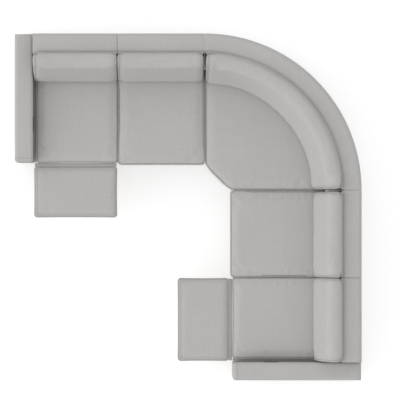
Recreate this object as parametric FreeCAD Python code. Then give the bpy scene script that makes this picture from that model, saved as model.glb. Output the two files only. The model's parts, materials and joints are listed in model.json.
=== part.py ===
import FreeCAD, Part
import math
import os

from FreeCAD import Vector

# Corner sofa in five upholstered units, seen with both end footrests out.
# Millimetres, +Z up. The origin lies on the floor at the middle of the square
# plan. The left run stands along +Y and faces -Y. The right run is the same
# run mirrored across the diagonal: it stands along +X and faces -X.
# A point of the left run is given as (u, d, z): u runs along X, d is the depth
# in front of the rear plane and z is the height.

# Plan sizes
arm_width = 140.0
end_width = 660.0
middle_width = 680.0
corner_radius = 1215.0
unit_depth = 1017.0
arm_length = 1000.0
recliner_front = 1003.0

# Heights
foot_height = 45.0
base_top = 318.0
static_base_top = 325.0
seat_edge_height = 470.0
arm_height = 600.0
shell_height = 760.0
back_height = 830.0

# Timber, steel plate and webbing
board = 22.0
post_depth = 50.0
post_front = 110.0
post_side_inset = 30.0
back_rail_low = 360.0
back_rail_middle = 540.0
post_top = 700.0
rail_height = 40.0
corner_posts = 5
corner_post_inset = 3.0
corner_post_relief = 2.0
corner_side_lap = 6.0
spine_length = 690.0
spine_height = 60.0
rail_gap = 2.0
rear_rail_top = 250.0
motor_rail_depth = 640.0
motor_rail_top = 200.0
front_rail_top = 95.0
front_web_rail = 850.0
web_lap = 6.0
plate = 3.0
bracket_plate = 4.0
seat_rail_height = 27.0
web_thickness = 2.0
web_width = 50.0
end_bands = 4
middle_bands = 4
corner_bands = 5
rail_low_height = 260.0
panel_thickness = 25.0
panel_setback = 7.0
panel_gap = 2.0
panel_bottom = 60.0
panel_edge = 6.0
panel_top_gap = 1.0
foot_half = 22.0
foot_tip_half = 16.0
foot_inset = 80.0
foot_rear_step = 100.0
corner_foot_reach = 260.0
connector_length = 80.0
unit_plate_depths = (400.0, 700.0)
arm_plate_depths = (300.0, 600.0)

# Soft parts
soft_clearance = 0.4
seat_crown = 16.0
seat_gap = 4.0
arm_gap = 24.0
cushion_edge = 16.0
cushion_corner = 25.0
round_chords = 3
draw_in = 5.0
crown_shares = (0.0, 0.45, 1.0)
crest_share = 0.4
corner_slope = 110.0
seat_rear_gap = 15.0
deck_front_setback = 75.0
deck_rail_gap = 6.0
deck_rail_setback = 28.0
deck_edge = 10.0
end_cushion_thickness = 45.0
shell_thickness = 155.0
shell_top_radius = 36.0
shell_gap = 3.0
shell_arm_gap = 6.0
shell_foot = 50.0
back_foot_thickness = 238.0
back_top_thickness = 102.0
back_rear_lean = 5.0
back_corner = 30.0
back_bulge = 9.0
back_ends = [(0, 0.9), (7, 0.96), (28, 1.0)]
corner_steps = 8
shell_chords = 3
back_end_gap = 21.0
back_join_gap = 2.0
arm_back_gap = 8.0
corner_back_gap = 14.0
arm_pad = 20.0
arm_radius = 24.0
arm_post = 40.0
arm_posts = 5

# Footrest
footrest_start = 25.0
footrest_length = 402.0
footrest_thickness = 70.0
footrest_drop = 25.0
footrest_board = 12.0
footrest_board_inset = 6.0
footrest_corner = 26.0
footrest_crown = 6.0
footrest_edge = 14.0
footrest_draw = 3.0

# Footrest linkage: steel bars in planes side by side, inside each side rail
rod_sides = 12
end_chords = 6
bar = 4.0
bar_gap = 1.0
bar_half_width = 11.0
pin_radius = 5.0
pin_clearance = 0.05
open_pivot_clearance = 3.0
open_eye_radius = 14.0
plate_margin = 30.0
plate_bottom = 120.0
plate_shoulder = 34.0
plate_top_gap = 2.0
journal_gap = 0.4
tube_radius = 12.5
journal_radius = 7.5
neck_radius = 7.0
flange_width = 30.0
bracket_rear_reach = 30.0
bracket_front_reach = 60.0
cross_pin_share = 0.1663

# Back hinge
hinge_ahead = 31.0
hinge_height = 430.0
hinge_disc_radius = 26.0
hinge_arm_half_width = 22.0
hinge_front_gap = 8.0
hinge_side_gap = 2.0
hinge_bracket_foot = 250.0
back_arm_bend = 560.0
back_arm_top = 640.0
hinge_rail_ahead = 50.0
shell_bottom_height = 330.0
recline_angle = 25.0
rear_panel_drop = 5.0

# Gear motors, sleeved on the tubes that they turn
drive_motor_radius = 30.0
back_motor_radius = 25.0
motor_length = 150.0
motor_start = 60.0
motor_leg = 12.0
motor_leg_start = 50.0
motor_leg_low = 110.0
motor_leg_high = 190.0
motor_leg_heel = 14.0
motor_leg_toe = 20.0
back_leg_drop = 16.0
back_leg_heel = 9.0
back_leg_toe = 6.0
back_leg_lift = 4.0

# Control on the inner face of each arm
switch_depth = 700.0
switch_drop = 70.0
switch_length = 116.0
switch_face = 60.0
switch_cup = 16.0
switch_end_lip = 6.0
switch_top_lip = 8.0
switch_floor = 2.0
rocker_length = 38.0
rocker_height = 30.0
rocker_spacing = 50.0
rocker_gap = 1.2
rocker_side_gap = 0.4
rocker_proud = 5.0
rocker_depth = 10.0
rocker_axis_depth = 4.0
rocker_valley = 1.5
rocker_taper = 2.0
trunnion_reach = 3.0
trunnion_radius = 2.0
trunnion_sides = 8
trunnion_clearance = 0.06

# Power inlet in the rear panel
inlet_offset = 120.0
inlet_height = 130.0
inlet_width = 34.0
inlet_tall = 24.0
inlet_wall = 6.0
inlet_recess = 11.0
inlet_pin_offset = 4.5
inlet_pin_half = 1.2
inlet_pin_start = 2.0

# Values worked out from the sizes above
overall_side = arm_width + end_width + middle_width + corner_radius
half_side = overall_side / 2
arm_outer = -half_side
end_start = arm_outer + arm_width
end_stop = end_start + end_width
middle_stop = end_stop + middle_width
corner_centre = Vector(middle_stop, half_side - corner_radius, 0)
switch_height = arm_height - switch_drop
deck_side_gap = board + deck_rail_gap
seat_rear_depth = shell_thickness + seat_rear_gap
back_front_depth = shell_thickness + back_foot_thickness
back_top_depth = shell_thickness + back_top_thickness
hinge_depth = shell_thickness + hinge_ahead
seat_frame_top = base_top + seat_rail_height
deck_bottom = seat_frame_top + web_thickness
end_cushion_bottom = seat_edge_height - end_cushion_thickness
deck_front = recliner_front - deck_front_setback
end_soft_rear = hinge_depth + hinge_disc_radius + hinge_front_gap
end_rail_front = deck_front - deck_rail_setback
end_rail_rear = end_soft_rear - rail_gap
back_bottom = seat_edge_height + seat_crown + 1
footrest_top = seat_edge_height - footrest_drop
footrest_bottom = footrest_top - footrest_thickness
static_cushion_bottom = static_base_top + web_thickness + soft_clearance
plate_plane = board
lower_plane = board + plate + bar_gap
main_plane = lower_plane + bar + bar_gap
cross_plane = main_plane + bar + bar_gap
toggle_plane = cross_plane + bar + bar_gap


def pivot(ahead, above):
    """A linkage pivot, ahead of the seat's front and above the deck's underside."""
    return recliner_front + ahead, deck_bottom + above


# Linkage pivots with the footrest out
drive_pivot = pivot(-240.4, -89.8)
cross_pivot = pivot(-200.5, -59.7)
knee_pivot = pivot(-121.4, -131.6)
pad_pivot = pivot(118.8, 2.4)
pad_front_pivot = pivot(188.9, 0.8)
toggle_pivot = pivot(-14.7, -102.0)
crossing = (
    knee_pivot[0] + cross_pin_share * (pad_pivot[0] - knee_pivot[0]),
    knee_pivot[1] + cross_pin_share * (pad_pivot[1] - knee_pivot[1]),
)


def point(u, d, z):
    """The place of a left-run point in the part's own frame."""
    return Vector(u, half_side - d, z)


def block(u0, u1, d0, d1, z0, z1):
    """A square-edged board between two corners."""
    return Part.makeBox(u1 - u0, d1 - d0, z1 - z0, point(u0, d1, z0))


def rod(u0, u1, place, radius):
    """A round bar that runs along u at (d, z)."""
    return Part.makeCylinder(radius, u1 - u0, point(u0, place[0], place[1]), Vector(1, 0, 0))


def disc_corners(place, radius, count):
    """The corners of a regular outline about a place in the plane."""
    turns = [2 * math.pi * (i + 0.5) / count for i in range(count)]
    return [(place[0] + radius * math.cos(turn), place[1] + radius * math.sin(turn)) for turn in turns]


def eye(u0, u1, place, radius):
    """A round plate or sleeve along u, many-sided with its edges at radius."""
    return prism(disc_corners(place, radius, rod_sides), u0, u1)


def bore(u0, u1, place, radius):
    """The hole that a rod of that radius turns in, with its flats at radius."""
    return eye(u0, u1, place, radius / math.cos(math.pi / rod_sides))


def prism(points, u0, u1):
    """A side view, given as (d, z) corners, drawn out along u."""
    corners = [point(u0, d, z) for d, z in points]
    corners.append(corners[0])
    face = Part.Face(Part.makePolygon(corners))
    return face.extrude(Vector(u1 - u0, 0, 0))


def flat_bar(start, stop, half_width, u0, u1):
    """A steel bar with a round end about each of two pivots."""
    heading = math.atan2(stop[1] - start[1], stop[0] - start[0])
    corners = []
    for place, first in ((stop, heading - math.pi / 2), (start, heading + math.pi / 2)):
        for i in range(end_chords + 1):
            turn = first + math.pi * i / end_chords
            corners.append((place[0] + half_width * math.cos(turn), place[1] + half_width * math.sin(turn)))
    return prism(corners, u0, u1)


def mirrored(shape):
    """The same piece in the right run."""
    return shape.mirror(Vector(0, 0, 0), Vector(1, -1, 0))


def both_sides(shape):
    """One piece at each side of the end unit."""
    middle = Vector((end_start + end_stop) / 2, 0, 0)
    return [shape, shape.mirror(middle, Vector(1, 0, 0))]


def single(shape):
    """The one solid that a boolean operation left."""
    solids = shape.Solids
    if len(solids) != 1:
        raise ValueError("expected one solid, found %d" % len(solids))
    return solids[0]


def flat_faced(solid):
    """The same solid with a true plane for each flat face that a loft left ruled."""
    faces = []
    for face in solid.Faces:
        corners = [vertex.Point for vertex in face.OuterWire.OrderedVertexes]
        corners.append(corners[0])
        outline = Part.makePolygon(corners)
        if abs(outline.Length - face.OuterWire.Length) < 1e-6 and face.findPlane():
            face = Part.Face(outline)
        faces.append(face)
    shell = Part.Shell(faces)
    shell.sewShape()
    return Part.Solid(shell)


def bowed_side(start, stop, bow, inward):
    """One side of an outline: straight, or an arc that stands off by bow."""
    if bow == 0:
        return Part.makeLine(start, stop)
    middle = (start + stop) * 0.5 + inward * bow
    return Part.Arc(start, middle, stop).toShape()


def rounded_outline(corners, radius, bows, height, plain=()):
    """A closed outline of bowed sides with a round at each corner.

    corners run anticlockwise; bows gives each side's bow inwards, from the
    first corner on. The corners numbered in plain are left without a round.
    """
    lift = Vector(0, 0, height)
    count = len(corners)
    rounds = []
    for i, corner in enumerate(corners):
        before = corners[i - 1] - corner
        after = corners[(i + 1) % count] - corner
        half_turn = before.getAngle(after) / 2
        before.normalize()
        if i in plain:
            rounds.append([corner + lift])
            continue
        start = corner + before * (radius / math.tan(half_turn))
        centre = start + Vector(-before.y, before.x, 0) * -radius
        rounds.append([place + lift for place in round_places(start, centre, math.pi - 2 * half_turn)])
    edges = []
    for i, places in enumerate(rounds):
        following = rounds[(i + 1) % count][0]
        along = following - places[-1]
        inward = Vector(-along.y, along.x, 0)
        inward.normalize()
        for first, second in zip(places, places[1:]):
            edges.append(Part.makeLine(first, second))
        edges.append(bowed_side(places[-1], following, bows[i], inward))
    return Part.Wire(edges)


def round_places(start, centre, sweep):
    """Places along a round from its start, anticlockwise about its centre."""
    spoke = start - centre
    places = []
    for i in range(round_chords + 1):
        turn = sweep * i / round_chords
        across = spoke.x * math.cos(turn) - spoke.y * math.sin(turn)
        along = spoke.x * math.sin(turn) + spoke.y * math.cos(turn)
        places.append(centre + Vector(across, along, 0))
    return places


def middle_of(corners):
    """The mean of an outline's corners."""
    total = Vector(0, 0, 0)
    for corner in corners:
        total = total + corner
    return total * (1.0 / len(corners))


def crown_levels(bottom, edge_top, crown, edge_radius, span):
    """Inset and height pairs from a cushion's base over its edge to its crest.

    span is the inset of the crest's small flat.
    """
    half_round = edge_radius * (1 - math.sqrt(0.5))
    levels = [(0, bottom), (0, edge_top - edge_radius), (half_round, edge_top - half_round)]
    for share in crown_shares:
        rise = 1 - (1 - share) ** 2
        levels.append((edge_radius + (span - edge_radius) * share, edge_top + crown * rise))
    return levels


def stacked_cushion(outline_at, levels):
    """A cushion's solid, stacked from its outlines at each level."""
    return flat_faced(Part.makeLoft([outline_at(inset, height) for inset, height in levels], True, True))


def boxed_cushion(u0, u1, d0, d1, bottom, edge_top, crown, bows, edge_radius, round_radius):
    """A boxed cushion with drawn-in sides, round corners and a domed top."""
    def outline_at(inset, height):
        corners = plan_corners(u0 + inset, u1 - inset, d0 + inset, d1 - inset)
        kept_bows = bows if inset < edge_radius else [0, 0, 0, 0]
        return rounded_outline(corners, round_radius, kept_bows, height)

    span = min(u1 - u0, d1 - d0) * crest_share
    return stacked_cushion(outline_at, crown_levels(bottom, edge_top, crown, edge_radius, span))


def plan_corners(u0, u1, d0, d1):
    """The four plan corners of a left-run piece, anticlockwise."""
    return [point(u0, d1, 0), point(u1, d1, 0), point(u1, d0, 0), point(u0, d0, 0)]


def seat_cushion(u0, u1, d0, d1, bottom):
    """A seat cushion whose front and rear sides stay full."""
    return boxed_cushion(u0, u1, d0, d1, bottom, seat_edge_height, seat_crown,
                         [0, draw_in, 0, draw_in], cushion_edge, cushion_corner)


def back_section(u, share):
    """The wedge section of a back cushion at u, shrunk about its middle."""
    rear = half_side - shell_thickness - soft_clearance
    corners = [
        Vector(half_side - back_front_depth, back_bottom, 0),
        Vector(rear, back_bottom, 0),
        Vector(rear - back_rear_lean, back_height, 0),
        Vector(half_side - back_top_depth, back_height, 0),
    ]
    middle = middle_of(corners)
    shrunk = [middle + (corner - middle) * share for corner in corners]
    wire = rounded_outline(shrunk, back_corner * share, [0, 0, -back_bulge / 3, -back_bulge], u)
    wire.rotate(Vector(0, 0, 0), Vector(1, 1, 1), 120)
    return wire


def back_cushion(u0, u1):
    """A wedge back cushion that is drawn in at both ends."""
    sections = [back_section(u0 + offset, share) for offset, share in back_ends]
    for offset, share in reversed(back_ends):
        sections.append(back_section(u1 - offset, share))
    return flat_faced(Part.makeLoft(sections, True, True))


def shell_face(u, bottom):
    """The section of a fixed back shell with its round top edges."""
    rear = half_side
    front = half_side - shell_thickness
    radius = shell_top_radius
    corners = [(front, bottom), (rear, bottom)]
    for middle, first in ((rear - radius, 0), (front + radius, 90)):
        for i in range(shell_chords + 1):
            turn = math.radians(first + 90 * i / shell_chords)
            height = shell_height - radius + radius * math.sin(turn)
            corners.append((middle + radius * math.cos(turn), height))
    places = [Vector(u, along, z) for along, z in corners]
    places.append(places[0])
    return Part.Face(Part.makePolygon(places))


def fixed_shell(u0, u1, frame):
    """A padded back shell, cut where the timber frame stands in it."""
    shell = shell_face(u0, shell_foot).extrude(Vector(u1 - u0, 0, 0))
    return single(shell.cut(Part.makeCompound(frame)))


def arm_frame():
    """Arm timbers: posts between a top and a bottom board."""
    inner = arm_outer + arm_pad
    outer = end_start - arm_pad
    first = arm_pad
    last = arm_length - arm_pad
    top = arm_height - arm_pad
    pieces = [
        block(inner, outer, first, last, foot_height, foot_height + board),
        block(inner, outer, first, last, top - board, top),
    ]
    pitch = (last - first - arm_post) / (arm_posts - 1)
    for i in range(arm_posts):
        start = first + i * pitch
        pieces.append(block(inner, outer, start, start + arm_post, foot_height + board, top - board))
    return pieces


def switch_pocket(clearance):
    """The space that the control's cup takes in the arm."""
    half_length = switch_length / 2 - switch_end_lip + clearance
    half_height = switch_face / 2 - switch_top_lip + clearance
    return block(end_start - switch_cup - clearance, end_start,
                 switch_depth - half_length, switch_depth + half_length,
                 switch_height - half_height, switch_height + half_height)


def arm_cover():
    """The padded arm: a hollow cover, open below, with the control's pocket."""
    body = block(arm_outer, end_start, 0, arm_length, foot_height, arm_height)
    upper = [edge for edge in body.Edges if edge.CenterOfMass.z > arm_height - 1]
    front_edges = [edge for edge in body.Edges
                   if abs(edge.CenterOfMass.y - (half_side - arm_length)) < 1
                   and abs(edge.CenterOfMass.z - (foot_height + arm_height) / 2) < 1]
    body = body.makeFillet(arm_radius, upper + front_edges)
    hollow = block(arm_outer + arm_pad, end_start - arm_pad, arm_pad, arm_length - arm_pad,
                   foot_height, arm_height - arm_pad)
    return single(body.cut(hollow).cut(switch_pocket(0)))


def rocker_depths():
    """Where the two rockers lie along the arm."""
    return [switch_depth - rocker_spacing / 2, switch_depth + rocker_spacing / 2]


def switch_plate():
    """The control's face plate and cup, with a seat for each rocker."""
    face = block(end_start, end_start + plate, switch_depth - switch_length / 2,
                 switch_depth + switch_length / 2, switch_height - switch_face / 2,
                 switch_height + switch_face / 2)
    body = face.fuse(switch_pocket(0))
    half_length = rocker_length / 2 + rocker_gap
    half_height = rocker_height / 2 + rocker_side_gap
    for depth in rocker_depths():
        seat = block(end_start - switch_cup + switch_floor, end_start + plate, depth - half_length,
                     depth + half_length, switch_height - half_height, switch_height + half_height)
        hole = trunnion(depth, trunnion_clearance)
        body = body.cut(seat).cut(hole)
    return single(body)


def trunnion(depth, clearance):
    """A rocker's upright pivot pin, or its hole."""
    half_length = rocker_height / 2 + trunnion_reach + 4 * clearance
    if not clearance:
        base = point(end_start - rocker_axis_depth, depth, switch_height - half_length)
        return Part.makeCylinder(trunnion_radius, 2 * half_length, base, Vector(0, 0, 1))
    place = (end_start - rocker_axis_depth, depth)
    radius = (trunnion_radius + clearance) / math.cos(math.pi / trunnion_sides)
    corners = []
    for along, across in disc_corners(place, radius, trunnion_sides):
        corners.append(point(along, across, switch_height - half_length))
    corners.append(corners[0])
    return Part.Face(Part.makePolygon(corners)).extrude(Vector(0, 0, 2 * half_length))


def rocker(depth):
    """A rocker with a shallow valley in its face, on its pin."""
    half_length = rocker_length / 2
    back = end_start - rocker_depth
    front = end_start + rocker_proud
    low = switch_height - rocker_height / 2
    corners = [
        point(back, depth - half_length + rocker_taper, low),
        point(back, depth + half_length - rocker_taper, low),
        point(front, depth + half_length, low),
        point(front - rocker_valley, depth, low),
        point(front, depth - half_length, low),
    ]
    corners.append(corners[0])
    body = Part.Face(Part.makePolygon(corners)).extrude(Vector(0, 0, rocker_height))
    return single(body.fuse(trunnion(depth, 0)))


def end_base():
    """The reclining unit's base: two side rails and three cross rails."""
    rail = prism([
        (panel_thickness, foot_height),
        (end_rail_front, foot_height),
        (end_rail_front, base_top),
        (end_rail_rear, base_top),
        (end_rail_rear, rail_low_height),
        (panel_thickness, rail_low_height),
    ], end_start, end_start + board)
    pieces = both_sides(rail)
    inner = end_start + board
    outer = end_stop - board
    pieces.append(block(inner, outer, panel_thickness, panel_thickness + board, foot_height, rear_rail_top))
    pieces.append(block(inner, outer, motor_rail_depth, motor_rail_depth + board,
                        foot_height, motor_rail_top))
    pieces.append(block(inner, outer, end_rail_front - board, end_rail_front, foot_height, front_rail_top))
    return pieces


def end_seat_frame():
    """Rails on the base that carry the webbing under the deck."""
    pieces = both_sides(block(end_start, end_start + board, end_rail_rear, end_rail_front,
                              base_top, seat_frame_top))
    inner = end_start + board
    outer = end_stop - board
    for start in (end_soft_rear + hinge_rail_ahead, front_web_rail):
        pieces.append(block(inner, outer, start, start + board, base_top, seat_frame_top))
    return pieces


def net(u0, u1, d0, d1, z, along, across):
    """Webbing bands in both directions, made as one holed sheet."""
    sheet = block(u0, u1, d0, d1, z, z + web_thickness)
    hole_u = (u1 - u0 - along * web_width) / (along - 1)
    hole_d = (d1 - d0 - across * web_width) / (across - 1)
    holes = []
    for i in range(along - 1):
        start_u = u0 + web_width + i * (hole_u + web_width)
        for j in range(across - 1):
            start_d = d0 + web_width + j * (hole_d + web_width)
            holes.append(block(start_u, start_u + hole_u, start_d, start_d + hole_d, z, z + web_thickness))
    return single(sheet.cut(Part.makeCompound(holes)))


def end_deck():
    """The firm foam deck under the reclining unit's seat cushion."""
    body = block(end_start + deck_side_gap, end_stop - deck_side_gap, end_soft_rear, deck_front,
                 deck_bottom + soft_clearance, end_cushion_bottom - soft_clearance)
    front = [edge for edge in body.Edges if edge.CenterOfMass.y < half_side - deck_front + 1]
    return single(body.makeFillet(deck_edge, front))


def rear_panel():
    """The fixed upholstered panel below the reclining back."""
    panel = block(end_start + panel_gap, end_stop - panel_gap, 0, panel_thickness, foot_height,
                  shell_bottom_height - rear_panel_drop)
    return single(panel.cut(inlet_block()))


def inlet_block():
    """The space that the power inlet takes in the rear panel."""
    middle = (end_start + end_stop) / 2 + inlet_offset
    return block(middle - inlet_width / 2, middle + inlet_width / 2, 0, panel_thickness,
                 inlet_height - inlet_tall / 2, inlet_height + inlet_tall / 2)


def power_inlet():
    """The two-pin inlet for the power lead, flush with the rear panel."""
    middle = (end_start + end_stop) / 2 + inlet_offset
    recess = block(middle - inlet_width / 2 + inlet_wall, middle + inlet_width / 2 - inlet_wall,
                   0, inlet_recess, inlet_height - inlet_tall / 2 + inlet_wall,
                   inlet_height + inlet_tall / 2 - inlet_wall)
    pins = []
    for side in (-1, 1):
        start = middle + side * inlet_pin_offset - inlet_pin_half
        pins.append(block(start, start + 2 * inlet_pin_half, inlet_pin_start, inlet_recess,
                          inlet_height - inlet_pin_half, inlet_height + inlet_pin_half))
    return single(inlet_block().cut(recess).fuse(pins))


def linkage_plate():
    """The steel side plate with the drive bearing and the cross bar's pin."""
    inner = end_start + plate_plane
    rear = drive_pivot[0] - plate_margin
    front = cross_pivot[0] + plate_margin
    top = base_top - plate_top_gap
    corner = plate_bottom + plate_margin
    body = prism([(rear, drive_pivot[1] + plate_margin), (rear, corner), (rear + plate_margin, plate_bottom),
                  (front - plate_margin, plate_bottom), (front, corner), (front, top),
                  (rear + plate_shoulder, top)], inner, inner + plate)
    pin = rod(inner + plate, end_start + cross_plane + bar + bar_gap, cross_pivot, pin_radius)
    bearing = bore(inner, inner + plate, drive_pivot, journal_radius + pin_clearance)
    return single(body.fuse(pin).cut(bearing))


def eye_bar(start, stop, plane):
    """A bar between two pivots in one of the linkage planes."""
    return flat_bar(start, stop, bar_half_width, end_start + plane, end_start + plane + bar)


def eye_hole(place, plane, clearance):
    """The hole for a pin through one bar."""
    return bore(end_start + plane, end_start + plane + bar, place, pin_radius + clearance)


def lower_link():
    """The driven bar, with its bearing journal and the knee pin."""
    start = end_start + lower_plane
    body = eye_bar(drive_pivot, knee_pivot, lower_plane)
    journal = eye(end_start + plate_plane + journal_gap, start, drive_pivot, journal_radius)
    pin = rod(start, end_start + main_plane + bar + bar_gap / 2, knee_pivot, pin_radius)
    return single(body.fuse([journal, pin]))


def main_link():
    """The long bar from the knee to the footrest, with the open crossing eye."""
    body = eye_bar(knee_pivot, pad_pivot, main_plane)
    start = end_start + main_plane
    body = body.fuse(eye(start, start + bar, crossing, open_eye_radius))
    for place, clearance in [(knee_pivot, pin_clearance), (pad_pivot, pin_clearance),
                             (crossing, open_pivot_clearance)]:
        body = body.cut(eye_hole(place, main_plane, clearance))
    return single(body)


def cross_link():
    """The cranked bar that crosses the long one and carries the toggle."""
    start = end_start + cross_plane
    body = eye_bar(cross_pivot, crossing, cross_plane).fuse(eye_bar(crossing, toggle_pivot, cross_plane))
    crossing_pin = eye(end_start + main_plane - bar_gap / 2, start, crossing, pin_radius)
    toggle_pin = rod(start + bar, end_start + toggle_plane + bar + bar_gap / 2, toggle_pivot, pin_radius)
    body = body.fuse([crossing_pin, toggle_pin])
    return single(body.cut(eye_hole(cross_pivot, cross_plane, pin_clearance)))


def toggle_link():
    """The bar that tips the footrest, with an open eye at its front end."""
    start = end_start + toggle_plane
    body = eye_bar(toggle_pivot, pad_front_pivot, toggle_plane)
    body = body.fuse(eye(start, start + bar, pad_front_pivot, open_eye_radius))
    body = body.cut(eye_hole(toggle_pivot, toggle_plane, pin_clearance))
    return single(body.cut(eye_hole(pad_front_pivot, toggle_plane, open_pivot_clearance)))


def footrest_bracket():
    """The angle under the footrest board, with the pins for both bars."""
    start = end_start + cross_plane
    ears = eye_bar(pad_pivot, pad_front_pivot, cross_plane)
    web = prism([(pad_pivot[0] - bar_half_width, pad_pivot[1]),
                 (pad_front_pivot[0] + bar_half_width, pad_front_pivot[1]),
                 (pad_front_pivot[0] + bracket_front_reach, footrest_bottom),
                 (pad_pivot[0] - bracket_rear_reach, footrest_bottom)],
                start, start + bar)
    flange = block(start, start + flange_width, pad_pivot[0] - bracket_rear_reach,
                   pad_front_pivot[0] + bracket_front_reach, footrest_bottom - plate, footrest_bottom)
    rear_pin = rod(end_start + main_plane - bar_gap / 2, start, pad_pivot, pin_radius)
    front_pin = eye(start + bar, end_start + toggle_plane + bar + bar_gap / 2, pad_front_pivot, pin_radius)
    return single(ears.fuse([web, flange, rear_pin, front_pin]))


def drive_tube():
    """The tube that turns both lower links together, necked past the other bars."""
    neck = lower_plane + bar
    full = toggle_plane + bar + plate
    tube = rod(end_start + full, end_stop - full, drive_pivot, tube_radius)
    return single(tube.fuse(eye(end_start + neck, end_stop - neck, drive_pivot, neck_radius)))


def footrest_corners(inset):
    """The footrest's plan corners, drawn in by inset."""
    first = recliner_front + footrest_start
    return plan_corners(end_start + seat_gap + inset, end_stop - seat_gap - inset,
                        first + inset, first + footrest_length - inset)


def footrest_base():
    """The plywood board that the footrest's pad is wrapped on."""
    outline = rounded_outline(footrest_corners(footrest_board_inset), footrest_corner - footrest_board_inset,
                              [0, 0, 0, 0], footrest_bottom)
    return Part.Face(outline).extrude(Vector(0, 0, footrest_board))


def footrest_pad():
    """The padded top of the footrest."""
    first = recliner_front + footrest_start
    return boxed_cushion(end_start + seat_gap, end_stop - seat_gap, first, first + footrest_length,
                         footrest_bottom + footrest_board, footrest_top - footrest_crown,
                         footrest_crown, [0, footrest_draw, 0, footrest_draw], footrest_edge,
                         footrest_corner)


def hinge_bracket():
    """The fixed bracket that carries the reclining back at one side."""
    inner = end_start + board
    slope = math.tan(math.radians(recline_angle))
    place = (hinge_depth, hinge_height)
    low = (hinge_depth + (hinge_height - hinge_bracket_foot) * slope, hinge_bracket_foot)
    body = flat_bar(place, low, hinge_disc_radius, inner, inner + bracket_plate)
    hole = bore(inner, inner + bracket_plate, place, journal_radius + pin_clearance)
    return single(body.cut(hole))


def back_posts():
    """Timbers inside the reclining back."""
    first = end_start + board + 2 * bracket_plate + hinge_side_gap
    posts = both_sides(block(first, first + board, post_front - post_depth, post_front,
                             back_rail_low, post_top))
    inner = first + board
    outer = end_stop - (first + board - end_start)
    for low in (back_rail_low, back_rail_middle, post_top - rail_height):
        posts.append(block(inner, outer, post_front - post_depth, post_front, low, low + rail_height))
    return posts


def back_arm():
    """The steel arm from the hinge to the back's post, with its journal."""
    start = end_start + board + bracket_plate + hinge_side_gap
    stop = start + bracket_plate
    hinge = (hinge_depth, hinge_height)
    bend = (post_front - post_depth / 2, back_arm_bend)
    end = (post_front - post_depth / 2, back_arm_top)
    body = flat_bar(hinge, bend, hinge_arm_half_width, start, stop)
    body = body.fuse(flat_bar(bend, end, hinge_arm_half_width, start, stop))
    journal = eye(end_start + board + journal_gap, start, hinge, journal_radius)
    return single(body.fuse(journal))


def back_frame():
    """The reclining back's timbers, steel arms and cross tube."""
    start = board + 2 * bracket_plate + hinge_side_gap
    tube = rod(end_start + start, end_stop - start, (hinge_depth, hinge_height), tube_radius)
    return back_posts() + both_sides(back_arm()) + [tube]


def reclining_shell(frame):
    """The reclining back's padded shell, rounded below about its hinge."""
    u0 = end_start + shell_arm_gap
    u1 = end_stop - shell_gap
    upper = shell_face(u0, hinge_height).extrude(Vector(u1 - u0, 0, 0))
    swing = rod(u0, u1, (hinge_depth, hinge_height), hinge_depth)
    keep = swing.common(block(u0, u1, -1, shell_thickness, shell_bottom_height, hinge_height))
    shell = upper.fuse(keep).removeSplitter()
    return single(shell.cut(Part.makeCompound(frame)))


def drive_motor():
    """The footrest's gear motor, sleeved on the drive tube."""
    start = end_start + motor_start
    body = eye(start, start + motor_length, drive_pivot, drive_motor_radius)
    rail = motor_rail_depth + board
    side = start + motor_leg_start
    leg = prism([(rail, motor_leg_low), (rail, motor_leg_high),
                 (drive_pivot[0] - motor_leg_toe, drive_pivot[1] + motor_leg_heel),
                 (drive_pivot[0] + motor_leg_heel, drive_pivot[1] - motor_leg_toe)], side, side + motor_leg)
    hole = bore(start, start + motor_length, drive_pivot, tube_radius + pin_clearance)
    return single(body.fuse(leg).cut(hole))


def back_motor():
    """The back's gear motor, sleeved on the hinge tube."""
    start = end_start + motor_start
    place = (hinge_depth, hinge_height)
    rail = end_soft_rear + hinge_rail_ahead
    edge = end_rail_rear
    side = start + motor_leg_start
    low = hinge_height - back_leg_drop
    body = eye(start, start + motor_length, place, back_motor_radius)
    leg = prism([(hinge_depth - motor_leg_heel, low), (edge - back_leg_heel, base_top + back_leg_lift),
                 (edge, base_top), (rail, base_top), (rail, seat_frame_top), (edge, seat_frame_top),
                 (edge - back_leg_toe, low)], side, side + motor_leg)
    hole = bore(start, start + motor_length, place, tube_radius + pin_clearance)
    return single(body.fuse(leg).cut(hole))


def static_back_posts(u0, u1):
    """The timbers of a fixed back, standing on the floor frame."""
    rear = post_front - post_depth
    first = u0 + post_side_inset
    last = u1 - post_side_inset
    pieces = [
        block(first, first + board, rear, post_front, foot_height, post_top),
        block(last - board, last, rear, post_front, foot_height, post_top),
    ]
    for low in (foot_height, back_rail_low, post_top - rail_height):
        pieces.append(block(first + board, last - board, rear, post_front, low, low + rail_height))
    return pieces


def middle_base():
    """The middle unit's floor frame."""
    rear = shell_thickness
    front = unit_depth - panel_setback - panel_thickness
    inner = end_stop + board
    outer = middle_stop - board
    return [
        block(end_stop, inner, rear, front, foot_height, static_base_top),
        block(outer, middle_stop, rear, front, foot_height, static_base_top),
        block(inner, outer, rear, rear + board, foot_height, static_base_top),
        block(inner, outer, front - board, front, foot_height, static_base_top),
    ]


def front_panel(u0, u1):
    """The upholstered front below a fixed seat."""
    front = unit_depth - panel_setback
    body = block(u0 + panel_gap, u1 - panel_gap, front - panel_thickness, front, panel_bottom,
                 static_base_top + web_thickness - panel_top_gap)
    face_edges = [edge for edge in body.Edges if edge.CenterOfMass.y < half_side - front + 0.1]
    return single(body.makeFillet(panel_edge, face_edges))


def corner_point(angle, radius, z):
    """A place in the corner unit, by its angle from the left run's end."""
    turned = math.radians(90 - angle)
    return corner_centre + Vector(radius * math.cos(turned), radius * math.sin(turned), z)


def corner_turned(shape, angle):
    """A shape swung round the corner's centre, towards the right run."""
    swung = shape.copy()
    swung.rotate(corner_centre, Vector(0, 0, 1), -angle)
    return swung


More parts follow.
